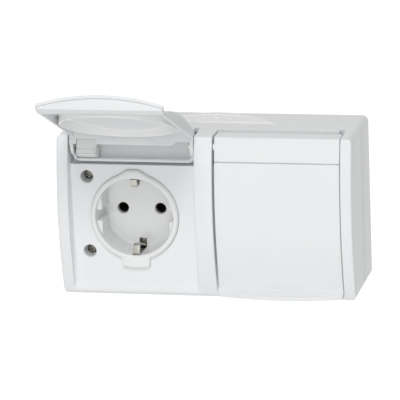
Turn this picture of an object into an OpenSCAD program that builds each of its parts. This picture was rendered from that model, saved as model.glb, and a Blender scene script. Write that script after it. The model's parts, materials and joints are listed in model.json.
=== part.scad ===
// Double weatherproof socket for wall mounting: a rear box, a front frame with three
// cheeks, two earthed socket wells and two hinged lids.
// Origin on the wall face at the middle of the housing. +X right, +Y into the wall, +Z up.

/* [Housing] */
// Width of the housing
body_w = 147; // [135:1:170]
// Height of the housing
body_h = 82; // [80:1:92]
// Depth of the rear box from the wall to the seam
base_depth = 22.5; // [20:0.5:30]
// Depth of the front frame from the seam to its crown
frame_depth = 29.7; // [29.5:0.1:34]
// Gap at the seam, filled by the gasket
seam_gap = 0.8; // [0.6:0.1:1.2]
// Wall of the rear box and of the front frame
wall = 2.2; // [1.8:0.1:2.6]
// Back wall of the rear box
back_wall = 2.5; // [2:0.1:3.5]
// Radius of the crowned front, seen from the side
crown_r = 145; // [120:5:200]
// Height of the crown above the middle of the housing
crown_z = 2; // [-2:0.5:5]
// Rounding of the top front edge
top_round = 4.5; // [3:0.5:5]
// Rounding of the bottom front edge
bottom_round = 3; // [2:0.5:4]
// Rounding of the four long edges
corner_r = 3; // [1:0.5:4]

/* [Front frame] */
// Width of each outer cheek
cheek_w = 5.75; // [5:0.25:7]
// Width of the middle cheek
mid_cheek_w = 9; // [8:0.5:12]
// Depth of the recessed plates below the crown
plate_depth = 7.2; // [7:0.1:8]
// Height of the flare at the foot of each plate
flare_h = 6.5; // [4:0.5:8]
// How far the flare comes forward
flare_out = 0.8; // [0.4:0.1:1]

/* [Socket wells] */
// Diameter of the well
well_d = 39; // [38.5:0.1:40]
// Depth of the well
well_depth = 17.5; // [16:0.5:18]
// Height of the well's middle over the housing's middle
well_z = -0.8; // [-2:0.1:1]
// Wall of the well
well_wall = 2.7; // [2.2:0.1:3]
// How far the rim stands proud of the plate
rim_proud = 2.2; // [1:0.1:2.3]
// Floor of the well
floor_t = 3; // [2:0.5:4]
// Distance between the pin holes
pin_pitch = 19; // [18.5:0.1:19.5]
// Diameter of the pin holes
pin_d = 5.6; // [5:0.1:6]
// Distance of the side ledges from the middle
ledge_x = 16.8; // [16:0.1:18]
// Depth of the side ledges below the rim
ledge_drop = 3.2; // [2:0.1:5]
// Width of the notch in each side ledge
notch_w = 5.6; // [4:0.2:7]
// Width of the slots for the earth clips
earth_slot_w = 3.9; // [3.4:0.1:5]
// Width of the tab under the rim
tab_w = 14.1; // [10:0.5:16]
// Reach of the tab from the middle of the well
tab_reach = 26.4; // [24:0.2:26.6]
// Height of the bump on top of the rim
bump_h = 1.7; // [0.5:0.1:2.5]
// Width of the bump at its top
bump_top_w = 6; // [4:0.5:8]
// Width of the bump at its foot
bump_foot_w = 19.2; // [16:0.2:22]

/* [Lids] */
// Gap between a lid and the cheeks
lid_gap = 0.7; // [0.5:0.1:1.2]
// Gap between a lid's rim and the plate
rim_gap = 0.8; // [0.6:0.1:1]
// Thickness of the lid's skin
skin_t = 1.6; // [1.2:0.1:1.6]
// Thickness of the lid's side walls
side_t = 1.8; // [1.5:0.1:2.2]
// Height of the lip's crease over the bottom of the housing
crease_h = 5.7; // [5:0.1:7]
// Height of the lip's lower edge over the bottom of the housing
lip_h = 1.7; // [1.5:0.1:3]
// How far the middle of the lip stands forward of the crown
lip_out = 2; // [0.5:0.1:4]
// How far the lip's ends lie behind its middle
lip_bow = 6; // [3:0.5:7]
// Distance of the groove line from the top
groove_drop = 12.1; // [11:0.1:13]
// Angle of the open lid from the closed one
open_angle = 114; // [90:1:116]
// Rounding of the lid's rear corners, seen from above
plan_r = 4; // [3:0.5:5]
// Room between the lid seal and the lid's walls
seal_room = 0.9; // [0.5:0.1:1.5]
// Thickness of the lid seal
seal_t = 1.2; // [1:0.1:1.4]

/* [Hinges] */
// Distance of the hinge axis from the top
hinge_drop = 6; // [6:0.1:6.5]
// Distance of the hinge axis behind the crown
hinge_depth = 9.4; // [9.2:0.1:9.6]
// Radius of the trough that the lid turns in
trough_r = 9; // [9:0.1:9.3]
// Reach of the lid behind the hinge axis
rear_reach = 7.4; // [6.5:0.1:7.5]
// Rounding of the lid's rear edge
rear_round = 4; // [3.5:0.1:4.5]
// Radius of the lid's side walls round the hinge
knuckle_r = 5.4; // [4.5:0.1:5.6]
// Diameter of the hinge pins
hinge_pin_d = 3.6; // [3:0.1:4]
// Depth of the hinge pins in the cheeks
pin_in_cheek = 3.4; // [2.5:0.1:4]
// Width of the brake block
brake_w = 9.5; // [7:0.5:12]

/* [Contacts] */
// Thickness of the contact metal
metal_t = 0.8; // [0.6:0.1:1]
// Width of the earth strap
earth_w = 3.4; // [3:0.1:3.6]
// Reach of the earth clips into the well, from the middle
clip_reach = 16.6; // [16.2:0.1:18]
// Diameter of a plug pin between the contact leaves
plug_pin_d = 4.8; // [4:0.1:5]
// Size of a terminal cage
cage = 7; // [6:0.5:8]
// Width of the links between the two sockets
link_w = 4; // [3:0.5:4.5]

/* [Cable entry] */
// Half the width of the cable entry seal
entry_half = 30; // [24:1:34]
// Depth of the cable entry seal from front to back
entry_bow = 19.5; // [16:0.5:19.5]
// How far the seal stands proud of the housing
entry_proud = 1; // [0.6:0.1:1.5]
// Width of the rim around the seal
entry_rim = 1.8; // [1.2:0.1:2.4]
// Number of push-through spots
entry_spots = 5; // [3:2:7]

/* [Screws] */
// Distance of the cover screws from the middle of a well
screw_x = 23.5; // [23:0.1:24.5]
// Height of the cover screws over and under the middle
screw_z = 19; // [17:0.5:24]
// Diameter of the cover screws' heads
screw_head_d = 5.8; // [5:0.1:6]
// Diameter of the cover screws' shanks
screw_d = 3; // [2.5:0.1:3.5]
// Distance of the wall screw holes from the housing's sides
wall_hole_side = 11.5; // [10:0.5:16]
// Distance of the wall screw holes from its top and bottom
wall_hole_end = 12; // [11:0.5:16]
// Diameter of the wall screw holes
wall_hole_d = 4.6; // [4:0.1:6]

/* [Fits] */
// Clearance between parts that are pushed together
fit = 0.15; // [0.1:0.05:0.2]
// Radial clearance round pins and shanks
running = 0.03; // [0.02:0.01:0.06]
// Gap left in front of a soft lip
soft_gap = 0.3; // [0.3:0.05:0.4]

/* [Hidden] */
fn = 96;
fine = 200;
eps = 0.01;
half_w = body_w / 2;
half_h = body_h / 2;
seam_y = -base_depth;
frame_back = seam_y - seam_gap;
crown_y = frame_back - frame_depth;
plate_y = crown_y + plate_depth;
plate_back = plate_y + wall;
arc_y = crown_y + crown_r;
bay_w = (body_w - 2 * cheek_w - mid_cheek_w) / 2;
bay_x = (bay_w + mid_cheek_w) / 2;
hinge_y = crown_y + hinge_depth;
hinge_z = half_h - hinge_drop;
trough_wall = trough_r + wall;
lid_w = bay_w - 2 * lid_gap;
rim_y = plate_y - rim_gap;
crease_z = -half_h + crease_h;
lip_z = -half_h + lip_h;
rear_y = hinge_y + rear_reach;
wall_hole_x = body_w - 2 * wall_hole_side;
wall_hole_z = body_h - 2 * wall_hole_end;
web_t = 1.5;
tray_end_t = 1.5 * skin_t;
tray_z = crease_z + tray_end_t;
web_z = hinge_z - knuckle_r - 1.1;
web_back = hinge_y + 1;
seal_r = min(lid_w / 2 - side_t, web_z - well_z, well_z - tray_z) - seal_room;
brake_start = -lid_w / 2 + plan_r - 2 * fit;
rear_drop = 2.6;
well_r = well_d / 2;
rim_r = well_r + well_wall;
rim_front = plate_y - rim_proud;
floor_front = rim_front + well_depth;
floor_back = floor_front + floor_t;
bump_z = rim_r + bump_h;
bump_foot_z = sqrt(rim_r * rim_r - bump_foot_w * bump_foot_w / 4) - 0.4;
flange_t = 2;
flange_r = rim_r + 1.5;
carrier_r = screw_x + 1.1;
seat_x = 16;
carrier_back = -6;
arm_y = carrier_back - 4.4;
leaf_gap = plug_pin_d - 0.2;
leaf_w = 5;
cavity_w = leaf_gap + 2 * metal_t + 1;
live_z = 15;
neutral_z = -15;
earth_z = 10;
strap_y = floor_back + fit;
strap_back = strap_y + metal_t;
slot_reach = rim_r - 0.8;
slot_front = rim_front + 4;
slot_in = clip_reach - 1.4;
entry_front = seam_y + 0.4;
entry_r = (entry_half * entry_half + entry_bow * entry_bow) / (2 * entry_bow);
entry_neck = entry_rim + 0.4;
head_y = plate_back + 0.8;
head_t = 2.4;
clamp_r = 0.21 * cage;
clamp_head = 0.23 * cage;
post_front = seam_y + 1;
post_r = screw_d / 2 + 2.5;
seat_r = 2.5;
screw_tip = -0.2 * base_depth - 2;
wall_boss_h = 3;

// Extrudes an X-Z outline from y0 back to y1
module along_y(y0, y1) {
    translate([0, y1, 0])
        rotate([90, 0, 0])
            linear_extrude(y1 - y0)
                children();
}

// Extrudes a Y-Z outline from x0 to x1
module along_x(x0, x1) {
    translate([x0, 0, 0])
        rotate([90, 0, 90])
            linear_extrude(x1 - x0)
                children();
}

// A round rod along Y
module rod_y(r, y0, y1) {
    translate([0, y1, 0])
        rotate([90, 0, 0])
            cylinder(r = r, h = y1 - y0, $fn = fn);
}

// A round rod along X
module rod_x(r, x0, x1) {
    translate([x0, 0, 0])
        rotate([0, 90, 0])
            cylinder(r = r, h = x1 - x0, $fn = fn);
}

// A box given by its corners
module block(low, high) {
    translate(low)
        cube(high - low);
}

// A rectangle with round corners, centred
module round_rect(w, h, r) {
    union() {
        square([w - 2 * r, h], center = true);
        square([w, h - 2 * r], center = true);
        for (sx = [-1, 1], sz = [-1, 1])
            translate([sx * (w / 2 - r), sz * (h / 2 - r)])
                circle(r = r, $fn = fn);
    }
}

// Takes the sharp corner off the crowned profile; side is 1 at the top, -1 at the bottom
module profile_corner(side, r, inset) {
    cz = side * (half_h - r);
    cy = arc_y - sqrt((crown_r - r) * (crown_r - r) - (cz - crown_z) * (cz - crown_z));
    tz = crown_z + (cz - crown_z) * (crown_r - inset) / (crown_r - r);
    difference() {
        translate([cy - 5 * r, side > 0 ? tz : tz - 5 * r])
            square(5 * r);
        translate([cy, cz])
            circle(r = r - inset, $fn = fn);
    }
}

// The crowned side profile of frame and lids, from the front to back_y
module side_profile(back_y, inset) {
    difference() {
        intersection() {
            translate([arc_y, crown_z])
                circle(r = crown_r - inset, $fn = fine);
            translate([crown_y - 1, -half_h + inset])
                square([back_y - crown_y + 1, body_h - 2 * inset]);
        }
        profile_corner(1, top_round, inset);
        profile_corner(-1, bottom_round, inset);
    }
}

module wall_holes() {
    for (sx = [-1, 1], sz = [-1, 1])
        translate([sx * wall_hole_x / 2, 0, sz * wall_hole_z / 2])
            children();
}

// Both cover screws of each socket, on its outer side
module cover_screw_places() {
    for (side = [-1, 1], sz = [-1, 1])
        translate([side * (bay_x + screw_x), 0, sz * screw_z])
            children();
}

// Outline of the cable entry, seen from above
module entry_outline(inset) {
    intersection() {
        translate([0, entry_front + entry_bow - entry_r])
            circle(r = entry_r - inset, $fn = fine);
        translate([-entry_half, entry_front + inset])
            square([2 * entry_half, entry_bow]);
    }
}

module base_box() {
    color("whitesmoke")
        difference() {
            union() {
                difference() {
                    along_y(seam_y, 0)
                        round_rect(body_w, body_h, corner_r);
                    along_y(seam_y - 1, -back_wall)
                        round_rect(body_w - 2 * wall, body_h - 2 * wall, corner_r - 0.8);
                }
                cover_screw_places()
                    rod_y(post_r, post_front, -back_wall + eps);
                wall_holes()
                    rod_y(wall_hole_d / 2 + 2, -back_wall - wall_boss_h, -back_wall + eps);
                for (side = [-1, 1], px = [-1, 1], pz = [-1, 1])
                    translate([side * bay_x + px * seat_x, 0, well_z + pz * seat_x])
                        rod_y(seat_r, carrier_back, -back_wall + eps);
            }
            cover_screw_places()
                rod_y(screw_d / 2 + running, post_front - 1, screw_tip);
            wall_holes()
                rod_y(wall_hole_d / 2, -back_wall - wall_boss_h - 1, 1);
            translate([0, 0, half_h - wall - 1])
                linear_extrude(wall + 2)
                    entry_outline(entry_neck);
        }
}

module frame_gasket() {
    color("gray")
        along_y(frame_back, seam_y)
            difference() {
                round_rect(body_w - 1.6, body_h - 1.6, corner_r - 0.8);
                round_rect(body_w - 2 * wall, body_h - 2 * wall, corner_r - 0.8);
            }
}

// The outline of rim, bump and tab of one insert, grown by g
module rim_outline(g) {
    union() {
        circle(r = rim_r + g, $fn = fn);
        polygon([[-bump_foot_w / 2 - g, bump_foot_z], [-bump_top_w / 2 - g, bump_z + g],
                 [bump_top_w / 2 + g, bump_z + g], [bump_foot_w / 2 + g, bump_foot_z]]);
        intersection() {
            translate([-tab_w / 2 - g, -tab_reach - g])
                square([tab_w + 2 * g, tab_reach]);
            circle(r = tab_reach + g, $fn = fn);
        }
    }
}

module front_frame() {
    color("white")
        difference() {
            union() {
                difference() {
                    frame_shell();
                    for (side = [-1, 1])
                        translate([side * bay_x, 0, 0])
                            lid_bay();
                }
                cover_screw_places()
                    rod_y(screw_head_d / 2 + 1.6, plate_back - eps, post_front - 0.4);
            }
            for (side = [-1, 1])
                translate([side * bay_x, 0, well_z])
                    along_y(plate_y - 2, plate_back + 1)
                        rim_outline(fit);
            cover_screw_places()
                union() {
                    rod_y(screw_head_d / 2 + 0.2, plate_y - 2, head_y + head_t);
                    rod_y(screw_d / 2 + running, head_y, post_front);
                }
            for (side = [-1, 1], end = [-1, 1])
                translate([side * bay_x + end * bay_w / 2, hinge_y, hinge_z])
                    rod_x(hinge_pin_d / 2 + running, -pin_in_cheek, pin_in_cheek);
        }
}

// The crowned outer form, hollow from the back
module frame_shell() {
    difference() {
        intersection() {
            along_x(-half_w, half_w)
                side_profile(frame_back, 0);
            along_y(crown_y - 1, frame_back)
                round_rect(body_w, body_h, corner_r);
        }
        difference() {
            along_y(plate_back, frame_back + 1)
                round_rect(body_w - 2 * wall, body_h - 2 * wall, corner_r - 0.8);
            translate([0, hinge_y, hinge_z])
                rod_x(trough_wall, -half_w, half_w);
            block([-half_w, plate_back - 1, hinge_z],
                  [half_w, hinge_y + trough_wall, half_h]);
        }
    }
}

// What one lid and its hinge need free in the frame
module lid_bay() {
    along_x(-bay_w / 2, bay_w / 2)
        difference() {
            translate([crown_y - 5, -half_h - 1])
                square([plate_y - crown_y + 5, hinge_z + half_h + 1]);
            polygon([[plate_y + 1, -half_h + flare_h + bottom_round],
                     [plate_y, -half_h + flare_h + bottom_round],
                     [plate_y - flare_out, -half_h + bottom_round],
                     [plate_y - flare_out + 1.2, -half_h],
                     [plate_y - flare_out + 1.2, -half_h - 2],
                     [plate_y + 1, -half_h - 2]]);
        }
    translate([0, hinge_y, hinge_z])
        rod_x(trough_r, -bay_w / 2, bay_w / 2);
    block([-bay_w / 2, crown_y - 1, hinge_z], [bay_w / 2, hinge_y + trough_r, half_h + 1]);
}

// A cross-recess screw: head, shank and tip
module cover_screws() {
    color("silver")
        cover_screw_places()
            difference() {
                union() {
                    rod_y(screw_head_d / 2, head_y, head_y + head_t);
                    rod_y(screw_d / 2, head_y + head_t - eps, screw_tip - 0.5);
                }
                along_y(head_y - 1, head_y + 1.4)
                    union() {
                        square([3.6, 0.8], center = true);
                        square([0.8, 3.6], center = true);
                    }
            }
}

module cable_entry_seal() {
    middle_y = entry_front + entry_bow - entry_r;
    color("ghostwhite")
        union() {
            difference() {
                translate([0, 0, half_h])
                    linear_extrude(entry_proud)
                        entry_outline(0);
                translate([0, 0, half_h + entry_proud - 0.6])
                    linear_extrude(1)
                        entry_outline(entry_rim);
            }
            translate([0, 0, half_h - wall - 0.2])
                linear_extrude(wall + 0.2 + eps)
                    entry_outline(entry_neck + fit);
            for (i = [0 : entry_spots - 1]) {
                turn = (i - (entry_spots - 1) / 2) * 17.5;
                translate([0.666 * entry_r * sin(turn),
                           middle_y + 0.726 * entry_r * cos(turn), half_h])
                    cylinder(r = 0.052 * entry_r, h = entry_proud, $fn = fn);
            }
        }
}

// Well, rim, bump and tab of one socket, drawn round the middle of the well
module socket_insert() {
    color("white")
        difference() {
            union() {
                along_y(rim_front, plate_back)
                    rim_outline(0);
                rod_y(flange_r, plate_back, plate_back + flange_t);
                rod_y(rim_r, plate_back, floor_back);
            }
            difference() {
                rod_y(well_r, rim_front - 1, floor_front);
                for (side = [-1, 1])
                    difference() {
                        block([side > 0 ? ledge_x : -well_r - 1, rim_front + ledge_drop, -well_r],
                              [side > 0 ? well_r + 1 : -ledge_x, floor_front + 1, well_r]);
                        block([-well_r - 2, rim_front, -notch_w / 2],
                              [well_r + 2, floor_front + 2, notch_w / 2]);
                    }
            }
            for (side = [-1, 1])
                translate([side * pin_pitch / 2, 0, 0])
                    rod_y(pin_d / 2, floor_front - 1, floor_back + 1);
            for (side = [-1, 1])
                block([-earth_slot_w / 2, slot_front, side > 0 ? slot_in : -slot_reach],
                      [earth_slot_w / 2, floor_back + 1, side > 0 ? slot_reach : -slot_in]);
        }
}

module left_socket_insert() {
    translate([-bay_x, 0, well_z])
        socket_insert();
}

module right_socket_insert() {
    translate([bay_x, 0, well_z])
        socket_insert();
}

// Insulating block behind one well, with pockets for the contacts and links
module contact_carrier(inner) {
    live_end = live_z - well_z;
    neutral_end = neutral_z - well_z;
    earth_at = earth_z - well_z;
    color("lightgray")
        difference() {
            rod_y(carrier_r, floor_back, carrier_back);
            for (side = [-1, 1])
                translate([side * pin_pitch / 2, 0, 0]) {
                    block([-cavity_w / 2, floor_back - 1, -leaf_w / 2 - 0.4],
                          [cavity_w / 2, arm_y, leaf_w / 2 + 0.4]);
                    arm_pocket(side < 0 ? live_end : neutral_end);
                }
            block([-carrier_r - 1, arm_y + metal_t - eps, live_end - link_w / 2 - fit],
                  [carrier_r + 1, carrier_back + 1, live_end + link_w / 2 + fit]);
            block([-carrier_r - 1, arm_y + metal_t - eps, neutral_end - link_w / 2 - fit],
                  [carrier_r + 1, carrier_back + 1, neutral_end + link_w / 2 + fit]);
            block([-earth_w / 2 - 0.3, floor_back - 1, -slot_reach],
                  [earth_w / 2 + 0.3, strap_back + fit, slot_reach]);
            block([inner > 0 ? -earth_w / 2 - 1 : -carrier_r - 1, floor_back - 1,
                   earth_at - link_w / 2 - fit],
                  [inner > 0 ? carrier_r + 1 : earth_w / 2 + 1, strap_back + metal_t + fit,
                   earth_at + link_w / 2 + fit]);
        }
}

// Room for one contact's foot and arm, which ends at height end_z
module arm_pocket(end_z) {
    block([-cavity_w / 2, arm_y - eps, min(-leaf_w / 2 - 0.4, end_z - link_w / 2 - fit)],
          [cavity_w / 2, arm_y + metal_t, max(leaf_w / 2 + 0.4, end_z + link_w / 2 + fit)]);
}

module left_contact_carrier() {
    translate([-bay_x, 0, well_z])
        contact_carrier(1);
}

module right_contact_carrier() {
    translate([bay_x, 0, well_z])
        contact_carrier(-1);
}

// Two spring leaves on a foot, with an arm up or down to the link
module fork_contact(end_z) {
    reach = end_z > 0 ? end_z + link_w / 2 : end_z - link_w / 2;
    color("goldenrod")
        union() {
            for (side = [-1, 1])
                along_y_leaf(side);
            block([-leaf_gap / 2 - metal_t, arm_y, min(-leaf_w / 2, reach)],
                  [leaf_gap / 2 + metal_t, arm_y + metal_t, max(leaf_w / 2, reach)]);
        }
}

// One leaf, pinched near its middle and flared at its mouth
module along_y_leaf(side) {
    near = leaf_gap / 2;
    mouth_y = floor_back + 0.6;
    pinch_y = floor_back + 6;
    translate([0, 0, -leaf_w / 2])
        linear_extrude(leaf_w)
            polygon([[side * near, pinch_y], [side * (near + 0.45), mouth_y],
                     [side * (near + 0.45 + metal_t), mouth_y], [side * (near + metal_t), pinch_y],
                     [side * (near + metal_t), arm_y + eps], [side * near, arm_y + eps]]);
}

module place_contact(gang, side) {
    translate([gang * bay_x + side * pin_pitch / 2, 0, well_z])
        children();
}

module left_live_contact() {
    place_contact(-1, -1)
        fork_contact(live_z - well_z);
}

module left_neutral_contact() {
    place_contact(-1, 1)
        fork_contact(neutral_z - well_z);
}

module right_live_contact() {
    place_contact(1, -1)
        fork_contact(live_z - well_z);
}

module right_neutral_contact() {
    place_contact(1, 1)
        fork_contact(neutral_z - well_z);
}

// One half of the earth strap's bent path, from the strap to the tip: [y, z] points
function clip_path() = [
    [strap_y, well_r + fit],
    [strap_y - 1.5 * metal_t, slot_reach - 1.5 * metal_t],
    [floor_front - metal_t, well_r - fit],
    [floor_front - 0.37 * well_depth, clip_reach + metal_t],
    [floor_front - 0.515 * well_depth, clip_reach + metal_t],
    [floor_front - 0.7 * well_depth, slot_reach - 2 * fit]
];

// The unit normal of a step
function normal_of(v) = [-v[1], v[0]] / norm(v);

// The mitre of the two steps that meet at point i of a path
function mitre(p, i) =
    let (last = len(p) - 1,
         a = normal_of(p[max(i, 1)] - p[max(i, 1) - 1]),
         b = normal_of(p[min(i, last - 1) + 1] - p[min(i, last - 1)]))
    (a + b) / (1 + a * b);

// Outline of a band of thickness t along a path
function band(p, t) = concat(
    [for (i = [0 : len(p) - 1]) p[i] + mitre(p, i) * t / 2],
    [for (i = [len(p) - 1 : -1 : 0]) p[i] - mitre(p, i) * t / 2]);

module earth_clip() {
    half_path = clip_path();
    path = concat([for (i = [len(half_path) - 1 : -1 : 0]) [half_path[i][0], -half_path[i][1]]],
                  half_path);
    color("silver")
        translate([0, metal_t / 2, 0])
            along_x(-earth_w / 2, earth_w / 2)
                polygon(band(path, metal_t));
}

module left_earth_clip() {
    translate([-bay_x, 0, well_z])
        earth_clip();
}

module right_earth_clip() {
    translate([bay_x, 0, well_z])
        earth_clip();
}

module live_link() {
    color("goldenrod")
        block([-bay_x - pin_pitch / 2 - leaf_gap / 2, arm_y + metal_t, live_z - link_w / 2],
              [bay_x - pin_pitch / 2 + leaf_gap / 2, arm_y + 2 * metal_t, live_z + link_w / 2]);
}

module neutral_link() {
    color("goldenrod")
        block([-bay_x + pin_pitch / 2 - leaf_gap / 2, arm_y + metal_t, neutral_z - link_w / 2],
              [bay_x + pin_pitch / 2 + leaf_gap / 2, arm_y + 2 * metal_t,
               neutral_z + link_w / 2]);
}

module earth_link() {
    color("goldenrod")
        block([-bay_x - earth_w / 2, strap_back, earth_z - link_w / 2],
              [bay_x + earth_w / 2, strap_back + metal_t, earth_z + link_w / 2]);
}

// Where each terminal cage sits: its front face and its height
function cage_places() = [
    [arm_y + metal_t - cage, live_z],
    [arm_y + metal_t - cage, neutral_z],
    [strap_back + metal_t, earth_z]
];

module terminal_cages() {
    color("silver")
        for (p = cage_places())
            translate([0, p[0], p[1]])
                difference() {
                    block([-cage / 2, 0, -cage / 2], [cage / 2, cage, cage / 2]);
                    block([-cage / 2 - 1, 0.2 * cage, -0.33 * cage],
                          [cage / 2 + 1, 0.8 * cage, 0.16 * cage]);
                    translate([0, cage / 2, 0])
                        cylinder(r = clamp_r + running, h = cage, $fn = fn);
                }
}

module terminal_screws() {
    color("silver")
        for (p = cage_places())
            translate([0, p[0] + cage / 2, p[1]])
                difference() {
                    union() {
                        cylinder(r = clamp_r, h = cage / 2 + eps, $fn = fn);
                        translate([0, 0, cage / 2])
                            cylinder(r = 0.37 * cage, h = clamp_head, $fn = fn);
                    }
                    block([-cage / 2, -cage / 16, (cage + clamp_head) / 2],
                          [cage / 2, cage / 16, cage / 2 + clamp_head + 1]);
                }
}

// Side view of the panel part of a lid, in front of its rim
module panel_side() {
    intersection() {
        side_profile(rear_y, 0);
        translate([crown_y - 1, crease_z])
            square([rim_y - crown_y + 1, half_h - crease_z]);
    }
}

// Side view of the cap over the hinge, with its rounded rear edge
module cap_side() {
    intersection() {
        side_profile(rear_y, 0);
        union() {
            translate([crown_y - 1, web_z])
                square([web_back - crown_y + 1, half_h - web_z]);
            difference() {
                translate([hinge_y, half_h - rear_drop - rear_round / 2])
                    square([rear_reach, rear_drop + rear_round / 2]);
                difference() {
                    translate([rear_y - rear_round, half_h - rear_round])
                        square([rear_round + 1, rear_round + 1]);
                    translate([rear_y - rear_round, half_h - rear_round])
                        circle(r = rear_round, $fn = fn);
                }
            }
        }
    }
}

// What is hollow behind the skin: the tray over the well and the room round the hinge
module lid_hollow_side() {
    intersection() {
        side_profile(rear_y + 1, skin_t);
        union() {
            translate([crown_y, tray_z])
                square([rear_y - crown_y + 1, web_z - tray_z]);
            difference() {
                translate([crown_y, web_z + web_t])
                    square([rear_y - skin_t - crown_y, half_h - web_z - web_t]);
                difference() {
                    translate([rear_y - rear_round, half_h - rear_round])
                        square([rear_round + 1, rear_round + 1]);
                    translate([rear_y - rear_round, half_h - rear_round])
                        circle(r = rear_round - skin_t, $fn = fn);
                }
            }
        }
    }
}

// The flared lip: a slanted bar whose front follows a shallow arc, seen from above
module lid_lip() {
    lip_front = crown_y - lip_out;
    bow_r = (lid_w * lid_w / 4 + lip_bow * lip_bow) / (2 * lip_bow);
    crease_y = arc_y - sqrt(crown_r * crown_r - (crease_z - crown_z) * (crease_z - crown_z));
    intersection() {
        along_x(-lid_w / 2, lid_w / 2)
            polygon([[crease_y, crease_z + eps], [lip_front - 1, lip_z + 0.7],
                     [lip_front - 1, lip_z], [rim_y - 1.2, lip_z], [rim_y, crease_z],
                     [rim_y, crease_z + eps]]);
        translate([0, lip_front + bow_r, lip_z - 1])
            cylinder(r = bow_r, h = crease_z - lip_z + 2, $fn = fine);
    }
}

// One lid in its closed place, drawn round the middle of its bay
module lid() {
    inner_w = lid_w - 2 * side_t;
    color("white")
        difference() {
            union() {
                difference() {
                    union() {
                        along_x(-lid_w / 2, lid_w / 2)
                            union() {
                                panel_side();
                                cap_side();
                            }
                        for (side = [-1, 1])
                            along_x(side > 0 ? lid_w / 2 - side_t : -lid_w / 2,
                                    side > 0 ? lid_w / 2 : -lid_w / 2 + side_t)
                                translate([hinge_y, hinge_z])
                                    circle(r = knuckle_r, $fn = fn);
                    }
                    along_x(-inner_w / 2, inner_w / 2)
                        lid_hollow_side();
                }
                lid_lip();
            }
            for (side = [-1, 1])
                translate([side * (lid_w / 2 - plan_r), rear_y - plan_r, web_z])
                    plan_corner(side, half_h - web_z);
            translate([0, hinge_y, hinge_z])
                rod_x(hinge_pin_d / 2 + running + 0.02, -lid_w / 2 - 1, lid_w / 2 + 1);
            groove_line();
        }
}

// Takes the edge off one rear corner of the lid, h high, seen from above
module plan_corner(side, h) {
    translate([0, 0, -1])
        linear_extrude(h + 2)
            difference() {
                translate([side > 0 ? 0 : -plan_r - 1, 0])
                    square(plan_r + 1);
                circle(r = plan_r, $fn = fn);
            }
}

// The fine groove across the lid's front
module groove_line() {
    groove_z = half_h - groove_drop;
    groove_y = arc_y - sqrt(crown_r * crown_r - (groove_z - crown_z) * (groove_z - crown_z));
    translate([0, groove_y - 0.15, groove_z])
        rod_x(0.5, -lid_w / 2 - 1, lid_w / 2 + 1);
}

// Ring of soft material that closes on the plate round the well
module lid_seal() {
    color("gainsboro")
        intersection() {
            translate([0, 0, well_z])
                difference() {
                    rod_y(seal_r, crown_y, plate_y - soft_gap);
                    rod_y(seal_r - seal_t, crown_y - 1, plate_y);
                }
            along_x(-lid_w / 2, lid_w / 2)
                side_profile(rear_y, skin_t);
            block([-lid_w / 2, crown_y, tray_z], [lid_w / 2, plate_y, web_z]);
        }
}

// Friction block that grips the pin at the left end of the lid
module brake_block() {
    start = brake_start;
    color("whitesmoke")
        difference() {
            intersection() {
                block([start, hinge_y - knuckle_r + 4 * fit, web_z + web_t],
                      [start + brake_w, hinge_y + hinge_pin_d, half_h]);
                along_x(start - 1, start + brake_w + 1)
                    side_profile(rear_y, skin_t + fit);
            }
            translate([0, hinge_y, hinge_z])
                rod_x(hinge_pin_d / 2 + running + 0.02, -lid_w / 2, lid_w / 2);
        }
}

// The two pins of one lid: a long one through the brake block and a short one
module hinge_pins() {
    color("silver")
        translate([0, hinge_y, hinge_z]) {
            rod_x(hinge_pin_d / 2, -bay_w / 2 - pin_in_cheek, brake_start + brake_w);
            rod_x(hinge_pin_d / 2, lid_w / 2 - side_t - 1, bay_w / 2 + pin_in_cheek);
        }
}

// Turns what is drawn closed about the hinge axis
module opened(angle) {
    translate([0, hinge_y, hinge_z])
        rotate([-angle, 0, 0])
            translate([0, -hinge_y, -hinge_z])
                children();
}

module left_lid() {
    translate([-bay_x, 0, 0])
        opened(open_angle)
            lid();
}

module right_lid() {
    translate([bay_x, 0, 0])
        lid();
}

module left_lid_seal() {
    translate([-bay_x, 0, 0])
        opened(open_angle)
            lid_seal();
}

module right_lid_seal() {
    translate([bay_x, 0, 0])
        lid_seal();
}

module left_hinge_pins() {
    translate([-bay_x, 0, 0])
        hinge_pins();
}

module right_hinge_pins() {
    translate([bay_x, 0, 0])
        hinge_pins();
}

module left_brake_block() {
    translate([-bay_x, 0, 0])
        opened(open_angle)
            brake_block();
}

module right_brake_block() {
    translate([bay_x, 0, 0])
        brake_block();
}

base_box();
frame_gasket();
front_frame();
cover_screws();
cable_entry_seal();
left_socket_insert();
right_socket_insert();
left_contact_carrier();
right_contact_carrier();
left_live_contact();
left_neutral_contact();
right_live_contact();
right_neutral_contact();
left_earth_clip();
right_earth_clip();
live_link();
neutral_link();
earth_link();
terminal_cages();
terminal_screws();
left_lid();
right_lid();
left_lid_seal();
right_lid_seal();
left_hinge_pins();
right_hinge_pins();
left_brake_block();
right_brake_block();
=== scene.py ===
# %% [markdown]
# # A double weatherproof socket
# The object is a wall-mounted housing of white ABS with two earthed wells. A hinged lid
# closes each well: the left one is drawn open and the right one closed. All places are in
# the part's own frame: +X to the right, +Y into the wall, +Z up, the wall at Y = 0.
#
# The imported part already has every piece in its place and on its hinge. This script gives
# the pieces that show their fine mouldings, then their finishes, a camera and the light.

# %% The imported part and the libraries
import json
import math

import bmesh
import bpy
import numpy as np
from mathutils import Matrix, Vector


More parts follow.
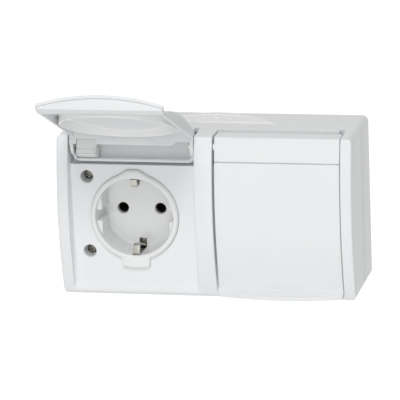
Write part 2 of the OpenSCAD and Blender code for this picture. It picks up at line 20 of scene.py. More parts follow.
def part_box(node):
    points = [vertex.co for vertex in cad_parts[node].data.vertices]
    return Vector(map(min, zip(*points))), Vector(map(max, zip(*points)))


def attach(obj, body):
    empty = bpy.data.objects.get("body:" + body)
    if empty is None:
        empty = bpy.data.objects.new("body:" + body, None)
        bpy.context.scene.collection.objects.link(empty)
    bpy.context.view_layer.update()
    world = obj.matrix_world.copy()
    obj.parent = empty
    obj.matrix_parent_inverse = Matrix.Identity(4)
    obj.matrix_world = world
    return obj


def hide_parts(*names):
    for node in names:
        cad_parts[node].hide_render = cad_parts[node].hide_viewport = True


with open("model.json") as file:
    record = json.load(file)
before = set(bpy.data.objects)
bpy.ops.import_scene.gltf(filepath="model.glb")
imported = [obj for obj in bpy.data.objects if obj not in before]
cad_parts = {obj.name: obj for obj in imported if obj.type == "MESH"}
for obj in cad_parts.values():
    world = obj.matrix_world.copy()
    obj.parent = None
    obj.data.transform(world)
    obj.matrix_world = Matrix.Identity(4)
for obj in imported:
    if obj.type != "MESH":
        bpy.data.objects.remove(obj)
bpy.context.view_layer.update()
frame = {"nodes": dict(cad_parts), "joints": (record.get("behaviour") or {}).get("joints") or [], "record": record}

print("CAD nodes:", len(frame["nodes"]))

# %% [markdown]
# ## Sizes
# The real object is measured in millimetres, so every shape below is worked out in
# millimetres and turned to metres only when it becomes a mesh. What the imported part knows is
# asked of it: how large the housing is and where the hinges lie. The rest are sizes of the
# mouldings, each written once.

# %% Sizes in millimetres
MM = 0.001
HALF_W, _, HALF_H = (round(v / MM, 3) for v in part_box("front_frame")[1])
HINGE = {joint["name"]: joint for joint in frame["joints"]}["right_lid_hinge"]
BAY_X, HINGE_Y, HINGE_Z = (round(v / MM, 4) for v in HINGE["pos_m"])
OPEN_ANGLE = math.radians(HINGE["range_deg"][1])

SEAM_Y, FRAME_BACK = -22.5, -23.3               # front of the rear box, back of the frame
CROWN_Y, CROWN_R, CROWN_Z = -53.0, 145.0, 2.0   # the crown's circle: its front, at its height
ARC_Y = CROWN_Y + CROWN_R
TOP_R, BOTTOM_R, CORNER_R = 1.8, 3.0, 3.0       # roundings of the housing's edges
WALL = 2.2
PLATE_Y, PLATE_BACK = -45.8, -43.6
BAY_W = 63.25                                   # room between two cheeks
BAY_IN, BAY_OUT = BAY_X - BAY_W / 2, BAY_X + BAY_W / 2
TROUGH_R, TROUGH_BACK_R = 9.7, 11.2             # round the hinge: front and back of its wall
WELL_Z, WELL_R, RIM_R = -0.8, 19.5, 22.2
RIM_FRONT, FLOOR_Y, FLOOR_BACK = -48.0, -30.5, -27.5
LID_W, LID_PLAY = 61.85, 0.42                   # a lid sits a little to the right in its bay
LID_RIM_Y = -46.6
SIDES = ((-1, "left"), (1, "right"))
COVERS = ((-1, "left", OPEN_ANGLE), (1, "right", 0.0))
print("housing", 2 * HALF_W, "x", 2 * HALF_H, "mm, hinges at", BAY_X, HINGE_Y, HINGE_Z)

# %% [markdown]
# ## From arrays to meshes
# A moulded shell is a few curved sheets that meet along their edges. They could be pushed
# into shape by hand, but then each rounding is placed by eye. Here numpy works each sheet
# out as a grid of points. One helper turns grids into quads, joins them where they touch and
# shades the result smooth, except at sharp edges.

# %% Grids to meshes
def grid_faces(rows, cols, wrap=False, start=0):
    """Quads of a rows x cols grid of points: each joins a point, its right neighbour and the
    two above them. With wrap the last column meets the first."""
    r, c = np.meshgrid(np.arange(rows - 1), np.arange(cols if wrap else cols - 1), indexing="ij")
    a = r * cols + c
    b = r * cols + (c + 1) % cols
    return np.stack([a, b, b + cols, a + cols], -1).reshape(-1, 4) + start


def shade(mesh, sharp):
    """Smooth shading, except at edges that turn by more than sharp degrees."""
    mesh.shade_smooth()
    mesh.set_sharp_from_angle(angle=math.radians(sharp))


def make_mesh(name, grids, sharp=32):
    """One mesh from grids of points in mm. Each grid is (points, wrap); points that lie
    within 2 micrometres of each other become one, and faces without area go."""
    verts, faces, count = [], [], 0
    for points, wrap in grids:
        rows, cols = points.shape[:2]
        faces.append(grid_faces(rows, cols, wrap, count))
        verts.append(points.reshape(-1, 3))
        count += rows * cols
    mesh = bpy.data.meshes.new(name)
    mesh.from_pydata((np.concatenate(verts) * MM).tolist(), [], np.concatenate(faces).tolist())
    work = bmesh.new()
    work.from_mesh(mesh)
    bmesh.ops.remove_doubles(work, verts=work.verts, dist=2e-6)
    bmesh.ops.dissolve_degenerate(work, edges=work.edges, dist=1e-6)
    bmesh.ops.recalc_face_normals(work, faces=work.faces)
    work.to_mesh(mesh)
    work.free()
    shade(mesh, sharp)
    return mesh


print("a grid of 3 x 4 points has", len(grid_faces(3, 4)), "quads")

# %% [markdown]
# ## Pieces, holes and added forms
# A piece rides on one of the part's bodies and stands for one of its CAD nodes. Holes could
# be left out of the grids, but a grid stays far simpler without them, so they are cut with a
# Boolean that is applied at once. Forms that run into a piece, such as a post under a plate,
# are added to its mesh as closed forms of their own.

# %% Pieces
SLOT_OF = {}


def put(name, data):
    """A new object in the scene."""
    thing = bpy.data.objects.new(name, data)
    bpy.context.scene.collection.objects.link(thing)
    return thing


def make_piece(name, grids, body, slot, stands_for, sharp=32):
    """An object from grids, riding on a body and standing for a CAD node."""
    piece = put(name, make_mesh(name, grids, sharp))
    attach(piece, body)
    SLOT_OF[piece] = slot
    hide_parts(stands_for)
    return piece


def close_gaps(mesh):
    """Fills what a Boolean may leave open where several edges lie in one line."""
    work = bmesh.new()
    work.from_mesh(mesh)
    gaps = [edge for edge in work.edges if edge.is_boundary]
    if gaps:
        bmesh.ops.holes_fill(work, edges=gaps)
        work.to_mesh(mesh)
    work.free()


def cut(piece, grids, sharp=32):
    """Takes the closed forms that grids describe out of piece, and shades it again."""
    tool = put("tool", make_mesh("tool", grids, sharp))
    step = piece.modifiers.new("cut", "BOOLEAN")
    step.operation = "DIFFERENCE"
    step.solver = "EXACT"
    step.object = tool
    bpy.context.view_layer.update()
    graph = bpy.context.evaluated_depsgraph_get()
    result = bpy.data.meshes.new_from_object(piece.evaluated_get(graph))
    piece.modifiers.clear()
    uncut = piece.data
    piece.data = result
    bpy.data.meshes.remove(uncut)
    bpy.data.objects.remove(tool)
    close_gaps(result)
    shade(result, sharp)


def add_forms(piece, grids, sharp=32):
    """Adds the closed forms that grids describe to piece's mesh."""
    extra = make_mesh("extra", grids, sharp)
    work = bmesh.new()
    work.from_mesh(piece.data)
    work.from_mesh(extra)
    work.to_mesh(piece.data)
    work.free()
    bpy.data.meshes.remove(extra)
    shade(piece.data, sharp)


def describe(piece):
    """Prints a piece's faces and its open edges, which don't join exactly two faces."""
    mesh = piece.data
    edges = np.zeros(len(mesh.loops), np.int32)
    mesh.loops.foreach_get("edge_index", edges)
    open_edges = (np.bincount(edges, minlength=len(mesh.edges)) != 2).sum()
    print(piece.name + ":", len(mesh.polygons), "faces,", open_edges, "open edges")


# %% [markdown]
# ## Turned forms, boxes and bars
# Posts, bores, screws and studs are turned: a line of (radius, height) points goes round an
# axis. Slots and pockets are plain boxes, and ribs, lips and strips are bars, rows of closed
# loops. Blender has such forms of its own, but these are grids like everything else, with
# closed ends, so they can be cut, added and joined in the same way.

# %% Turned forms and boxes
def spin(profile, centre, axis="y", steps=72):
    """A closed turned form: profile is (radius, height) points, swept round an axis through
    centre. Each point goes round a circle of its own radius."""
    profile = np.asarray(profile, float)
    a = np.linspace(0, 2 * np.pi, steps, endpoint=False)
    r, h = profile[:, :1], profile[:, 1:]
    u, v, w = r * np.cos(a), r * np.sin(a), h + 0 * a
    order = {"y": (u, w, v), "x": (w, u, v), "z": (u, v, w)}[axis]
    return np.stack(order, -1) + np.asarray(centre, float), True


def block(low, high):
    """A closed box from its two corners, as rings round its X axis."""
    (x0, y0, z0), (x1, y1, z1) = low, high
    loop = np.array([(y0, z0), (y1, z0), (y1, z1), (y0, z1)])
    mid = loop.mean(0) + 0 * loop
    rows = [(x0, mid), (x0, loop), (x1, loop), (x1, mid)]
    return np.stack([np.column_stack([np.full(4, x), yz]) for x, yz in rows]), True


def loop_bar(loops):
    """A closed bar: a row of closed loops with a pole at the middle of each end loop."""
    first = loops[:1] * 0 + loops[0].mean(0)
    last = loops[:1] * 0 + loops[-1].mean(0)
    return np.concatenate([first, loops, last]), True


print("a turned cylinder has", spin([(0, 0), (1, 0), (1, 1), (0, 1)], (0, 0, 0))[0].shape[:2],
      "points")

# %% [markdown]
# ## Rounded lines
# A moulded or bent edge is never sharp, and its rounding is what catches the light. A Bevel
# modifier rounds edges too, but it fails where roundings are larger than the faces beside
# them. So corners are rounded while a section is still a line: exact arcs, of any radius.

# %% Rounded lines
def unit(vectors):
    """Each vector divided by its length."""
    return vectors / np.maximum(np.linalg.norm(vectors, axis=-1, keepdims=True), 1e-9)


def pairs(y, z):
    """(y, z) points from two rows of numbers, or from a number and a row."""
    return np.stack(np.broadcast_arrays(y, z), -1)


def fillet(points, radii, steps=6):
    """A line, or a stack of lines, whose corners are round: each corner becomes an arc that
    touches both its sides at r / tan(half the corner's angle) from the corner."""
    p = np.asarray(points, float)
    r = np.asarray(radii, float)[:, None]
    corner = p[..., 1:-1, :]
    a, b = unit(p[..., :-2, :] - corner), unit(p[..., 2:, :] - corner)
    half = np.arccos(np.clip((a * b).sum(-1, keepdims=True), -1, 1)) / 2
    reach = r / np.tan(half)
    centre = corner + unit(a + b) * r / np.sin(half)
    start = (corner + a * reach - centre)[..., None, :]
    end = (corner + b * reach - centre)[..., None, :]
    turn = np.maximum(np.pi - 2 * half, 1e-6)[..., None]
    k = np.linspace(0, 1, steps)[:, None]
    arc = (np.sin((1 - k) * turn) * start + np.sin(k * turn) * end) / np.sin(turn)
    arcs = (arc + centre[..., None, :]).reshape(*p.shape[:-2], -1, 2)
    return np.concatenate([p[..., :1, :], arcs, p[..., -1:, :]], -2)


def resample(path, count):
    """count points along a line, evenly by length."""
    step = np.linalg.norm(np.diff(path, axis=0), axis=1)
    along = np.concatenate([[0], np.cumsum(step)])
    want = along[-1] * np.linspace(0, 1, count)
    return np.stack([np.interp(want, along, path[:, i]) for i in range(path.shape[1])], -1)


def smooth_step(t):
    """0 below 0, 1 above 1, and 3t^2 - 2t^3 between them."""
    t = np.clip(t, 0, 1)
    return t * t * (3 - 2 * t)


print("a rounded right angle has", len(fillet([(0, 1), (0, 0), (1, 0)], [0.2])), "points")

# %% [markdown]
# ## The crowned side profile
# Seen from the side, the front of the housing and of its lids is one shallow circle of
# 145 mm, and small circles lead from it to the flat top and bottom. A Bevel modifier could
# round those edges, but lid and frame have to match, so both take their points from here.

# %% The cheeks' profile
def crown(z, inset=0.0):
    """Front of the crowned housing at height z: a circle of 145 mm seen from the side."""
    r = CROWN_R - inset
    return ARC_Y - np.sqrt(r * r - (z - CROWN_Z) ** 2)


def corner_arc(side, radius, inset=0.0, steps=9):
    """The round corner of the side profile, from the crown to the flat top (side 1) or
    bottom (side -1), and where its centre lies: its circle touches both."""
    cz = side * (HALF_H - radius)
    cy = ARC_Y - math.sqrt((CROWN_R - radius) ** 2 - (cz - CROWN_Z) ** 2)
    away = math.atan2(cz - CROWN_Z, cy - ARC_Y)
    flat = side * math.pi / 2
    start = away if side > 0 else away + 2 * math.pi
    end = flat if side > 0 else flat + 2 * math.pi
    a = np.linspace(start, end, steps)
    r = radius - inset
    return pairs(cy + r * np.cos(a), cz + r * np.sin(a)), cy


TOP_ARC, TOP_CY = corner_arc(1, TOP_R)
BOTTOM_ARC, BOTTOM_CY = corner_arc(-1, BOTTOM_R)
# shares of the flat top's depth: the trough's wall meets it after MEET_ROWS rows
MEET_ROWS = 4
MEET = (HINGE_Y + TROUGH_R - TOP_CY) / (FRAME_BACK - TOP_CY)
SHARES = np.concatenate([np.linspace(0, MEET, MEET_ROWS + 1), np.linspace(MEET, 1, 5)[1:]])
EDGE_Z = 24.9   # the plate's flat ends here, just under the trough


def cheek_profile():
    """(y, z) of the crowned cheek, from the back of the bottom face round the front to the
    back of the top face, and the rows at which the crown, the trough and the top begin."""
    low = np.linspace(BOTTOM_ARC[0, 1], EDGE_Z, 62)
    high = np.linspace(EDGE_Z, TOP_ARC[0, 1], 16)
    parts = [pairs(BOTTOM_CY + SHARES[::-1] * (FRAME_BACK - BOTTOM_CY), -HALF_H),
             BOTTOM_ARC[::-1], pairs(crown(low), low), pairs(crown(high), high), TOP_ARC]
    parts = [part[:-1] for part in parts]
    top = pairs(TOP_CY + SHARES * (FRAME_BACK - TOP_CY), HALF_H)
    starts = np.cumsum([len(part) for part in parts])
    return np.concatenate(parts + [top]), starts[0], starts[2], starts[4]


CHEEK, FIRST_ROW, TROUGH_ROW, LAST_ROW = cheek_profile()
print("cheek profile:", len(CHEEK), "points, trough from row", TROUGH_ROW)

# %% [markdown]
# ## The plates between the cheeks
# The real front frame is one moulding: three crowned cheeks with two flat plates sunk between
# them, a hinge trough over each plate and a soft flare at its foot. A plate's side profile
# has as many points as the cheek's, so that later each row can step from one to the other.

# %% The plates' profile
def flare(z):
    """Front of the plate at height z: flat, then coming 1.6 mm forward in a soft curve at its
    foot and rounding back under it."""
    under = np.clip((-38.6 - z) / 2.4, 0, 1)
    return PLATE_Y - 1.6 * smooth_step((-34 - z) / 5) + 1.2 * under ** 2


def plate_profile():
    """(y, z) of plate and trough. Below the trough it has the cheek's heights; over it the
    rows follow the trough's circle back and up to the top face."""
    y, z = CHEEK.T
    plate = pairs(np.where(z <= -HALF_H + 1e-6, y, np.maximum(y, flare(z))), z)
    edge_z = HINGE_Z - math.sqrt(TROUGH_R ** 2 - (PLATE_Y - HINGE_Y) ** 2)
    edge_angle = math.atan2(edge_z - HINGE_Z, PLATE_Y - HINGE_Y)
    a = np.linspace(edge_angle + 0.06, 0, 40)   # leaves room for the edge's rounding
    circle = pairs(HINGE_Y + TROUGH_R * np.cos(a), HINGE_Z + TROUGH_R * np.sin(a))
    edge = fillet([[PLATE_Y, EDGE_Z], [PLATE_Y, edge_z], circle[0]], [0.35])[:-1]
    path = np.concatenate([edge, circle, [[HINGE_Y + TROUGH_R, HALF_H]]])
    fixed = 6   # the points of the edge's rounding are kept as they are
    meet = LAST_ROW + MEET_ROWS
    rest = resample(path[fixed:], meet + 1 - TROUGH_ROW - fixed)
    plate[TROUGH_ROW:meet + 1] = np.concatenate([path[:fixed], rest])
    plate[meet + 1:] = CHEEK[meet + 1:]
    return plate


PLATE = plate_profile()
print("the trough meets the top face at", PLATE[LAST_ROW + MEET_ROWS].round(2))

# %% [markdown]
# ## The frame's skin
# Seen from above, the frame is a row of steps with rounded edges, and the steps change with
# the height. Boxes and bevels would break up where the trough and the flare meet the cheeks.
# Instead the front is one grid: its columns go from the cheek's profile to the plate's along
# quarter circles, and the left half is mirrored to the right.

# %% Columns of the front and the side walls
def row_widths():
    """Half the housing's width at each row: full, and less inside the long edges' circles."""
    over = np.clip(np.abs(CHEEK[:, 1]) - (HALF_H - CORNER_R), 0, CORNER_R)
    return HALF_W - CORNER_R + np.sqrt(np.maximum(CORNER_R ** 2 - over ** 2, 0))


def step_columns(x, side, depth, convex, concave, steps=7):
    """Columns over one step: a quarter circle off the cheek's edge and a quarter ellipse into
    the plate. side is +1 where the plate lies to the right. Gives x and depth."""
    a = np.linspace(0, np.pi / 2, steps)
    d, wide = depth[:, None], concave[:, None]
    r1, r2 = np.minimum(convex, 0.45 * d), np.minimum(wide, 0.5 * d)
    xs = np.concatenate([x - side * r1 * (1 - np.sin(a)), x + side * wide * (1 - np.cos(a))], 1)
    ds = np.concatenate([r1 * (1 - np.cos(a)), d - r2 * (1 - np.sin(a))], 1)
    return (xs, ds) if side > 0 else (xs[:, ::-1], ds[:, ::-1])


def front_skin(width, edge):
    """Front, top and bottom: each point lies on its row's line from cheek to plate, at the
    depth of its column. Cheeks have crisp edges of 0.5 mm. The corner between cheek and plate
    is 0.8 mm wide, and towards the foot it widens to 4.4 mm at the outer cheek and 2 mm at
    the middle one."""
    depth = np.linalg.norm(PLATE - CHEEK, axis=1)
    foot = smooth_step((-6 - CHEEK[:, 1]) / 30)
    left_x, left_d = step_columns(-BAY_OUT, 1, depth, 0.5, 0.8 + 3.6 * foot)
    right_x, right_d = step_columns(-BAY_IN, -1, depth, 0.5, 0.8 + 1.2 * foot)
    cheek_x = np.linspace(edge - width, left_x[:, 0], 7, axis=1)[:, :-1]
    bay_x = np.linspace(left_x[:, -1], right_x[:, 0], 40, axis=1)[:, 1:-1]
    middle_x = np.linspace(right_x[:, -1], -right_x[:, -1], 5, axis=1)[:, 1:-1]
    half_x = np.concatenate([cheek_x, left_x, bay_x, right_x], 1)
    half_d = np.concatenate([0 * cheek_x, left_d, depth[:, None] + 0 * bay_x, right_d], 1)
    x = np.concatenate([half_x, middle_x, -half_x[:, ::-1]], 1)
    d = np.concatenate([half_d, 0 * middle_x, half_d[:, ::-1]], 1)
    yz = CHEEK[:, None] + unit(PLATE - CHEEK)[:, None] * d[:, :, None]
    return np.concatenate([x[:, :, None], yz], 2)


def side_skin(width, edge):
    """The right side wall: at each row a quarter circle off the front, then straight back."""
    rows = slice(FIRST_ROW, LAST_ROW + 1)
    e, w, cheek = edge[rows, None], width[rows, None], CHEEK[rows]
    a = np.linspace(0, np.pi / 2, 6)
    round_x = w - e * (1 - np.sin(a))
    round_y = cheek[:, :1] + e * (1 - np.cos(a))
    back_y = round_y[:, -1:] + SHARES[1:] * (FRAME_BACK - round_y[:, -1:])
    x = np.concatenate([round_x, w + 0 * back_y], 1)
    y = np.concatenate([round_y, back_y], 1)
    return np.stack([x, y, cheek[:, 1:] + 0 * x], -1)


width = row_widths()
edge = 1.1 * smooth_step((HALF_H - np.abs(CHEEK[:, 1])) / 4)
front, right_side = front_skin(width, edge), side_skin(width, edge)
left_side = right_side * [-1, 1, 1]
print("frame skin:", front.shape[0], "x", front.shape[1], "points")

# %% [markdown]
# ## The frame's inside
# The real moulding has an even wall, which shows at the trough's cut-outs and holes. A
# Solidify modifier would fold over itself in the tight roundings. So the open back's rim is
# moved inwards by the wall, carried forward and closed by a floor that follows the back of
# plate and trough.

# %% The hollow behind the front
def back_rim():
    """The rim of the skin at the open back, once round: bottom, right, top, left."""
    return np.concatenate([front[0], right_side[:, -1], front[-1][::-1], left_side[::-1, -1]])


def trough_back(z):
    """Back of the plate and of the trough's wall at height z: a plane, then the circle
    round the hinge, which lies in that plane, with the wall's thickness added."""
    over = np.clip(z - HINGE_Z, -TROUGH_BACK_R, 0)
    reach = np.sqrt(TROUGH_BACK_R ** 2 - over ** 2)
    return PLATE_BACK + np.where(z > HINGE_Z, TROUGH_BACK_R, reach)


def hollow(rim, rows, cols):
    """The rim moved inwards at the open back, the same loop at the floor's depth, and the
    floor: rows of X between the loop's low and high side."""
    x, z = rim[:, 0], rim[:, 2]
    core = np.stack([np.clip(x, CORNER_R - HALF_W, HALF_W - CORNER_R),
                     np.clip(z, CORNER_R - HALF_H, HALF_H - CORNER_R)], -1)
    inner_x, inner_z = (rim[:, [0, 2]] - WALL * unit(rim[:, [0, 2]] - core)).T
    back = np.stack([inner_x, np.full_like(inner_x, FRAME_BACK), inner_z], -1)
    deep = np.stack([inner_x, trough_back(inner_z), inner_z], -1)
    right = deep[cols:cols + rows]
    low, high = deep[:cols, 0], deep[cols + rows:2 * cols + rows][::-1, 0]
    t = np.linspace(0, 1, rows)[:, None]
    floor_x = right[:, :1] * ((1 - t) * low / low[-1] + t * high / high[-1])
    floor = np.stack([floor_x, right[:, 1:2] + 0 * floor_x, right[:, 2:] + 0 * floor_x], -1)
    return back, deep, floor


rim = back_rim()
back, deep, floor = hollow(rim, right_side.shape[0], front.shape[1])
frame_piece = make_piece(
    "front_frame_moulding",
    [(front, False), (left_side, False), (right_side, False),
     (np.stack([rim, back, deep]), True), (floor, False)],
    "housing", "housing_white", "front_frame")
describe(frame_piece)

# %% [markdown]
# ## The outline of a well
# The rim round each well isn't a plain ring: it has a flat bump on top that keeps a plug the
# right way up, and a tab below to pull the insert out by. Both come from one rule: at each
# angle the outline is the farthest of circle, bump and tab. The insert and its opening in the
# plate share this outline, so they always fit.

# %% Well outline
BUMP_TOP, BUMP_SLANT, SLANT_ANGLE = 23.9, 21.66, math.radians(56.9)
TAB_REACH, TAB_HALF_W = 26.4, 7.05
LEDGE_X, NOTCH_HALF = 16.8, 2.8   # the well's two ledges and the notch in each


def well_angles():
    """Where the outline has its points: every 3 degrees, and close together at the corners of
    the tab and of the ledges."""
    tab = np.array([14.5, 15.6, 16.6, 17.6, 18.4, 19, 20])
    ledge = np.array([8.1, 8.4, 9.3, 9.7, 30.6])
    return np.unique(np.radians(np.concatenate([
        np.arange(0, 360, 3.0), 270 - tab, 270 + tab,
        ledge, 180 - ledge, 180 + ledge, 360 - ledge])).round(6))


def well_outline(angles):
    """Radius at each angle: the greatest of the rim's circle, the bump's flat top between its
    two slants, and the tab's end between its sides. A bell curve of 0.8 degrees softens the
    corners."""
    up, down = np.abs(angles - np.pi / 2), np.abs(angles - 1.5 * np.pi)
    slant = BUMP_SLANT / np.cos(np.minimum(np.abs(np.pi / 2 - up - SLANT_ANGLE), 1.2))
    bump = np.where(up < 0.6, np.minimum(BUMP_TOP / np.cos(np.minimum(up, 1.2)), slant), 0)
    sides = TAB_HALF_W / np.maximum(np.sin(down), 1e-3)
    tab = np.where(down < 0.34, np.minimum(TAB_REACH, sides), 0)
    radius = np.maximum(RIM_R, np.maximum(bump, tab))
    fine = np.linspace(0, 2 * np.pi, 3600, endpoint=False)
    value = np.interp(fine, np.append(angles, angles[0] + 2 * np.pi),
                      np.append(radius, radius[0]))
    bell = np.exp(-0.5 * (np.arange(-60, 61) / 8.0) ** 2)
    soft = np.convolve(np.concatenate([value[-60:], value, value[:60]]), bell / bell.sum(),
                       "valid")
    return np.interp(angles, fine, soft)


ANGLES = well_angles()
OUTLINE = well_outline(ANGLES)


def rings(stations, x0):
    """A closed form round the middle of a well: stations are (radius, depth) pairs from one
    pole to the other. A radius is one number or one per angle."""
    radius, y = (np.stack([np.broadcast_to(station[i], ANGLES.shape) for station in stations])
                 for i in (0, 1))
    return np.stack([x0 + radius * np.cos(ANGLES), y, WELL_Z + radius * np.sin(ANGLES)], -1), True


print("well outline:", len(ANGLES), "points, reach", OUTLINE.max().round(1), "mm")

# %% [markdown]
# ## Holes and screw posts of the frame
# Two cover screws stand beside each well, deep in round mouths, on posts behind the plate.
# The hinge pins have blind bores in the cheeks, and the top has a small pocket in each bay's
# rear right corner. All of it is cut in one go, because one Boolean with many tools is faster
# and cleaner than many in a row.

# %% Frame with its holes and posts
SCREWS = [(side * (BAY_X + 23.5), up * 19.0) for side in (-1, 1) for up in (-1, 1)]
SCREW_MOUTH = [(0, -47), (3.9, -47), (3.6, -45.9), (3.4, -45.75), (3.2, -45.5), (3.1, -45.1),
               (3.1, -40.38), (0, -40.38)]
SCREW_POST = [(3.1, -43.62), (4.5, -43.62), (4.5, -21.9), (1.53, -21.9), (1.53, -40.4),
              (3.1, -40.4), (3.1, -43.62)]
PIN_HOLE = [(0, -3.4), (1.83, -3.4), (1.83, 3.4), (0, 3.4)]
OPENING = [(0, -49), (OUTLINE + 0.16, -49), (OUTLINE + 0.16, -42), (0, -42)]

mouths = [spin(SCREW_MOUTH, (x, 0, z)) for x, z in SCREWS]
openings = [rings(OPENING, side * BAY_X) for side, _ in SIDES]
pin_holes = [spin(PIN_HOLE, (side * BAY_X + end * BAY_W / 2, HINGE_Y, HINGE_Z), "x")
             for side, _ in SIDES for end in (-1, 1)]
pockets = [block((x - 2.7, -34.8, 36.6), (x - 0.35, -30.6, 42)) for x in (-BAY_IN, BAY_OUT)]
cut(frame_piece, mouths + openings + pin_holes + pockets)
add_forms(frame_piece, [spin(SCREW_POST, (x, 0, z)) for x, z in SCREWS])
describe(frame_piece)

# %% [markdown]
# ## The socket inserts
# Each well is one moulding of glossy white plastic: a rounded rim with its bump and tab, a
# round well with a ledge at each side, two pin holes and two slots for the earth clip. A
# turned form can't have a bump or a ledge, so this is a turned form whose radius also depends
# on the angle: rim, ledges and floor come out of the same rings.

# %% Inserts
def ledge_radius():
    """Radius of the well under its ledges: the circle, or nearer where a ledge's straight
    edge cuts it, and the circle again in the ledge's notch."""
    alpha = np.arcsin(np.abs(np.sin(ANGLES)))
    straight = np.minimum(WELL_R, LEDGE_X / np.maximum(np.cos(alpha), 1e-3))
    notch = NOTCH_HALF / np.maximum(np.sin(alpha), 1e-3)
    return np.minimum(WELL_R, np.maximum(straight, notch))


def insert_grid(x0):
    """Rings from the back of the insert over its rounded rim and down into the well."""
    low = ledge_radius()
    a = np.linspace(0, np.pi / 2, 6)
    outer = [(OUTLINE - 1.5 * (1 - np.cos(t)), RIM_FRONT + 1.5 * (1 - np.sin(t))) for t in a]
    inner = [(WELL_R + 0.8 * (1 - np.sin(t)), RIM_FRONT + 0.8 * (1 - np.cos(t))) for t in a]
    foot = [(low - 0.9 * (1 - np.cos(t)), FLOOR_Y - 0.9 * (1 - np.sin(t))) for t in a]
    ledge_y = RIM_FRONT + 3.2
    back = [(0, FLOOR_BACK), (RIM_R - 0.3, FLOOR_BACK), (RIM_R, FLOOR_BACK - 0.3),
            (RIM_R, -41.6), (23.7, -41.6), (23.7, PLATE_BACK), (OUTLINE, PLATE_BACK)]
    ledge = [(WELL_R, ledge_y - 0.1), (np.minimum(WELL_R, low + 0.25), ledge_y),
             (low, ledge_y + 0.25)]
    return rings(back + outer + inner + ledge + foot + [(0.55 * low, FLOOR_Y), (0, FLOOR_Y)], x0)


PIN_X = 9.5   # half the 19 mm between the pins of a plug
PLUG_HOLE = [(0, -31), (3.15, -31), (3.15, -30.45), (2.8, -30.05), (2.8, -27), (0, -27)]
for side, name in SIDES:
    x0 = side * BAY_X
    insert = make_piece(name + "_insert_moulding", [insert_grid(x0)], "housing", "insert_white",
                        name + "_socket_insert")
    plug_holes = [spin(PLUG_HOLE, (x0 + end * PIN_X, 0, WELL_Z)) for end in (-1, 1)]
    clip_slots = [block((x0 - 1.95, -46.6, WELL_Z + low), (x0 + 1.95, -26.5, WELL_Z + high))
                  for low, high in ((15.2, 21.4), (-21.4, -15.2))]
    cut(insert, plug_holes + clip_slots)
    describe(insert)

# %% [markdown]
# ## The lids' side profiles
# A lid is a crowned tray with side walls, a hollow cap over the hinge and a flared lip to
# lift it by. Its skin runs along three lines seen from the side: the outside, the inside and
# the free rim. The lines have one point per row, so they can be joined row by row.

# %% Outside, inside and rim of a lid
HALF_LID = LID_W / 2
SKIN, SIDE_WALL = 1.6, 1.8
CREASE_Z, LIP_Z, TRAY_Z, RIB_Z = -35.3, -39.3, -32.9, 28.5
REAR_Y, REAR_R, REAR_Z = -35.5, 4.0, 36.4   # the cap's rear skirt and its rounding
KNUCKLE_R = 5.4
GROOVE_Z, GROOVE_HALF = 28.9, 0.345
GROOVE_STEPS = np.array([0.5, 0.36, GROOVE_HALF, 0.3, 0.2, 0.1])


def groove_depth(z):
    """How far the fine groove sinks at height z: 1.2 mm, with steep sides 0.69 mm apart."""
    return 1.2 * np.clip((GROOVE_HALF - np.abs(z - GROOVE_Z)) / 0.04, 0, 1)


def grooved(z):
    """(y, z) of the crown with its groove."""
    return pairs(crown(z) + groove_depth(z), z)


def cap_profile(skin):
    """(y, z) of the cap from its rear skirt over the top to the crown, skin mm inside it."""
    a = np.linspace(0, np.pi / 2, 8)
    rear = np.array([REAR_Y - REAR_R, HALF_H - REAR_R]) + (REAR_R - skin) * pairs(
        np.cos(a), np.sin(a))
    return np.concatenate([[[REAR_Y - skin, REAR_Z]], rear, pairs([-41.5, -43], HALF_H - skin),
                           corner_arc(1, TOP_R, skin)[0][::-1]])


def cap_rim(count):
    """(y, z) of the cap's free rim: round the hinge's knuckle, then down the rib."""
    turn = np.linspace(math.asin(1.4 / KNUCKLE_R), math.atan2(-5.31, 1.0), 40)
    knuckle = pairs(HINGE_Y + KNUCKLE_R * np.cos(turn), HINGE_Z + KNUCKLE_R * np.sin(turn))
    return resample(np.concatenate([[[REAR_Y - SKIN / 2, REAR_Z - 0.1]], knuckle,
                                    [[-42.6, RIB_Z], [LID_RIM_Y, RIB_Z]]]), count)


def lid_profiles():
    """Rows of outside, inside and rim, from the rear skirt over cap, groove and tray to the
    crease under the tray."""
    groove_z = GROOVE_Z + np.concatenate([GROOVE_STEPS, [0], -GROOVE_STEPS[::-1]])
    z = np.concatenate([np.linspace(TOP_ARC[0, 1], 29.6, 8)[1:], groove_z])
    tray_z = np.concatenate([np.linspace(28.3, 22, 6), np.linspace(20.5, TRAY_Z, 40)])
    k = np.linspace(0, 1, 7)[1:]
    end_z = TRAY_Z - 1.6 * k
    crease_z = np.array([-34.9, CREASE_Z])
    floor_y = crown(TRAY_Z, SKIN)
    outside = [cap_profile(0), grooved(z), grooved(tray_z), pairs(crown(end_z), end_z),
               pairs(crown(crease_z), crease_z)]
    inside = [cap_profile(SKIN), pairs(crown(z, SKIN), np.minimum(z, HALF_H - TOP_R)),
              pairs(crown(tray_z, SKIN), tray_z),
              pairs(floor_y + k * (LID_RIM_Y - floor_y), TRAY_Z - 0.02 * k),
              pairs(LID_RIM_Y, crease_z)]
    rim = [cap_rim(len(outside[0]) + len(z)), pairs(LID_RIM_Y, tray_z),
           pairs(LID_RIM_Y, TRAY_Z - 0.8 * k), pairs(LID_RIM_Y, crease_z)]
    return np.concatenate(outside), np.concatenate(inside), np.concatenate(rim)


OUTSIDE, INSIDE, RIM = lid_profiles()
print("lid profiles:", len(OUTSIDE), "rows")

# %% [markdown]
# ## The lid's shell
# Each row of the shell is one closed section: from the rim out round one side wall, over the
# front, down the other side and back along the inside. Drawing skin and wall as one section
# keeps the wall's thickness true, which matters on a lid that is seen open.

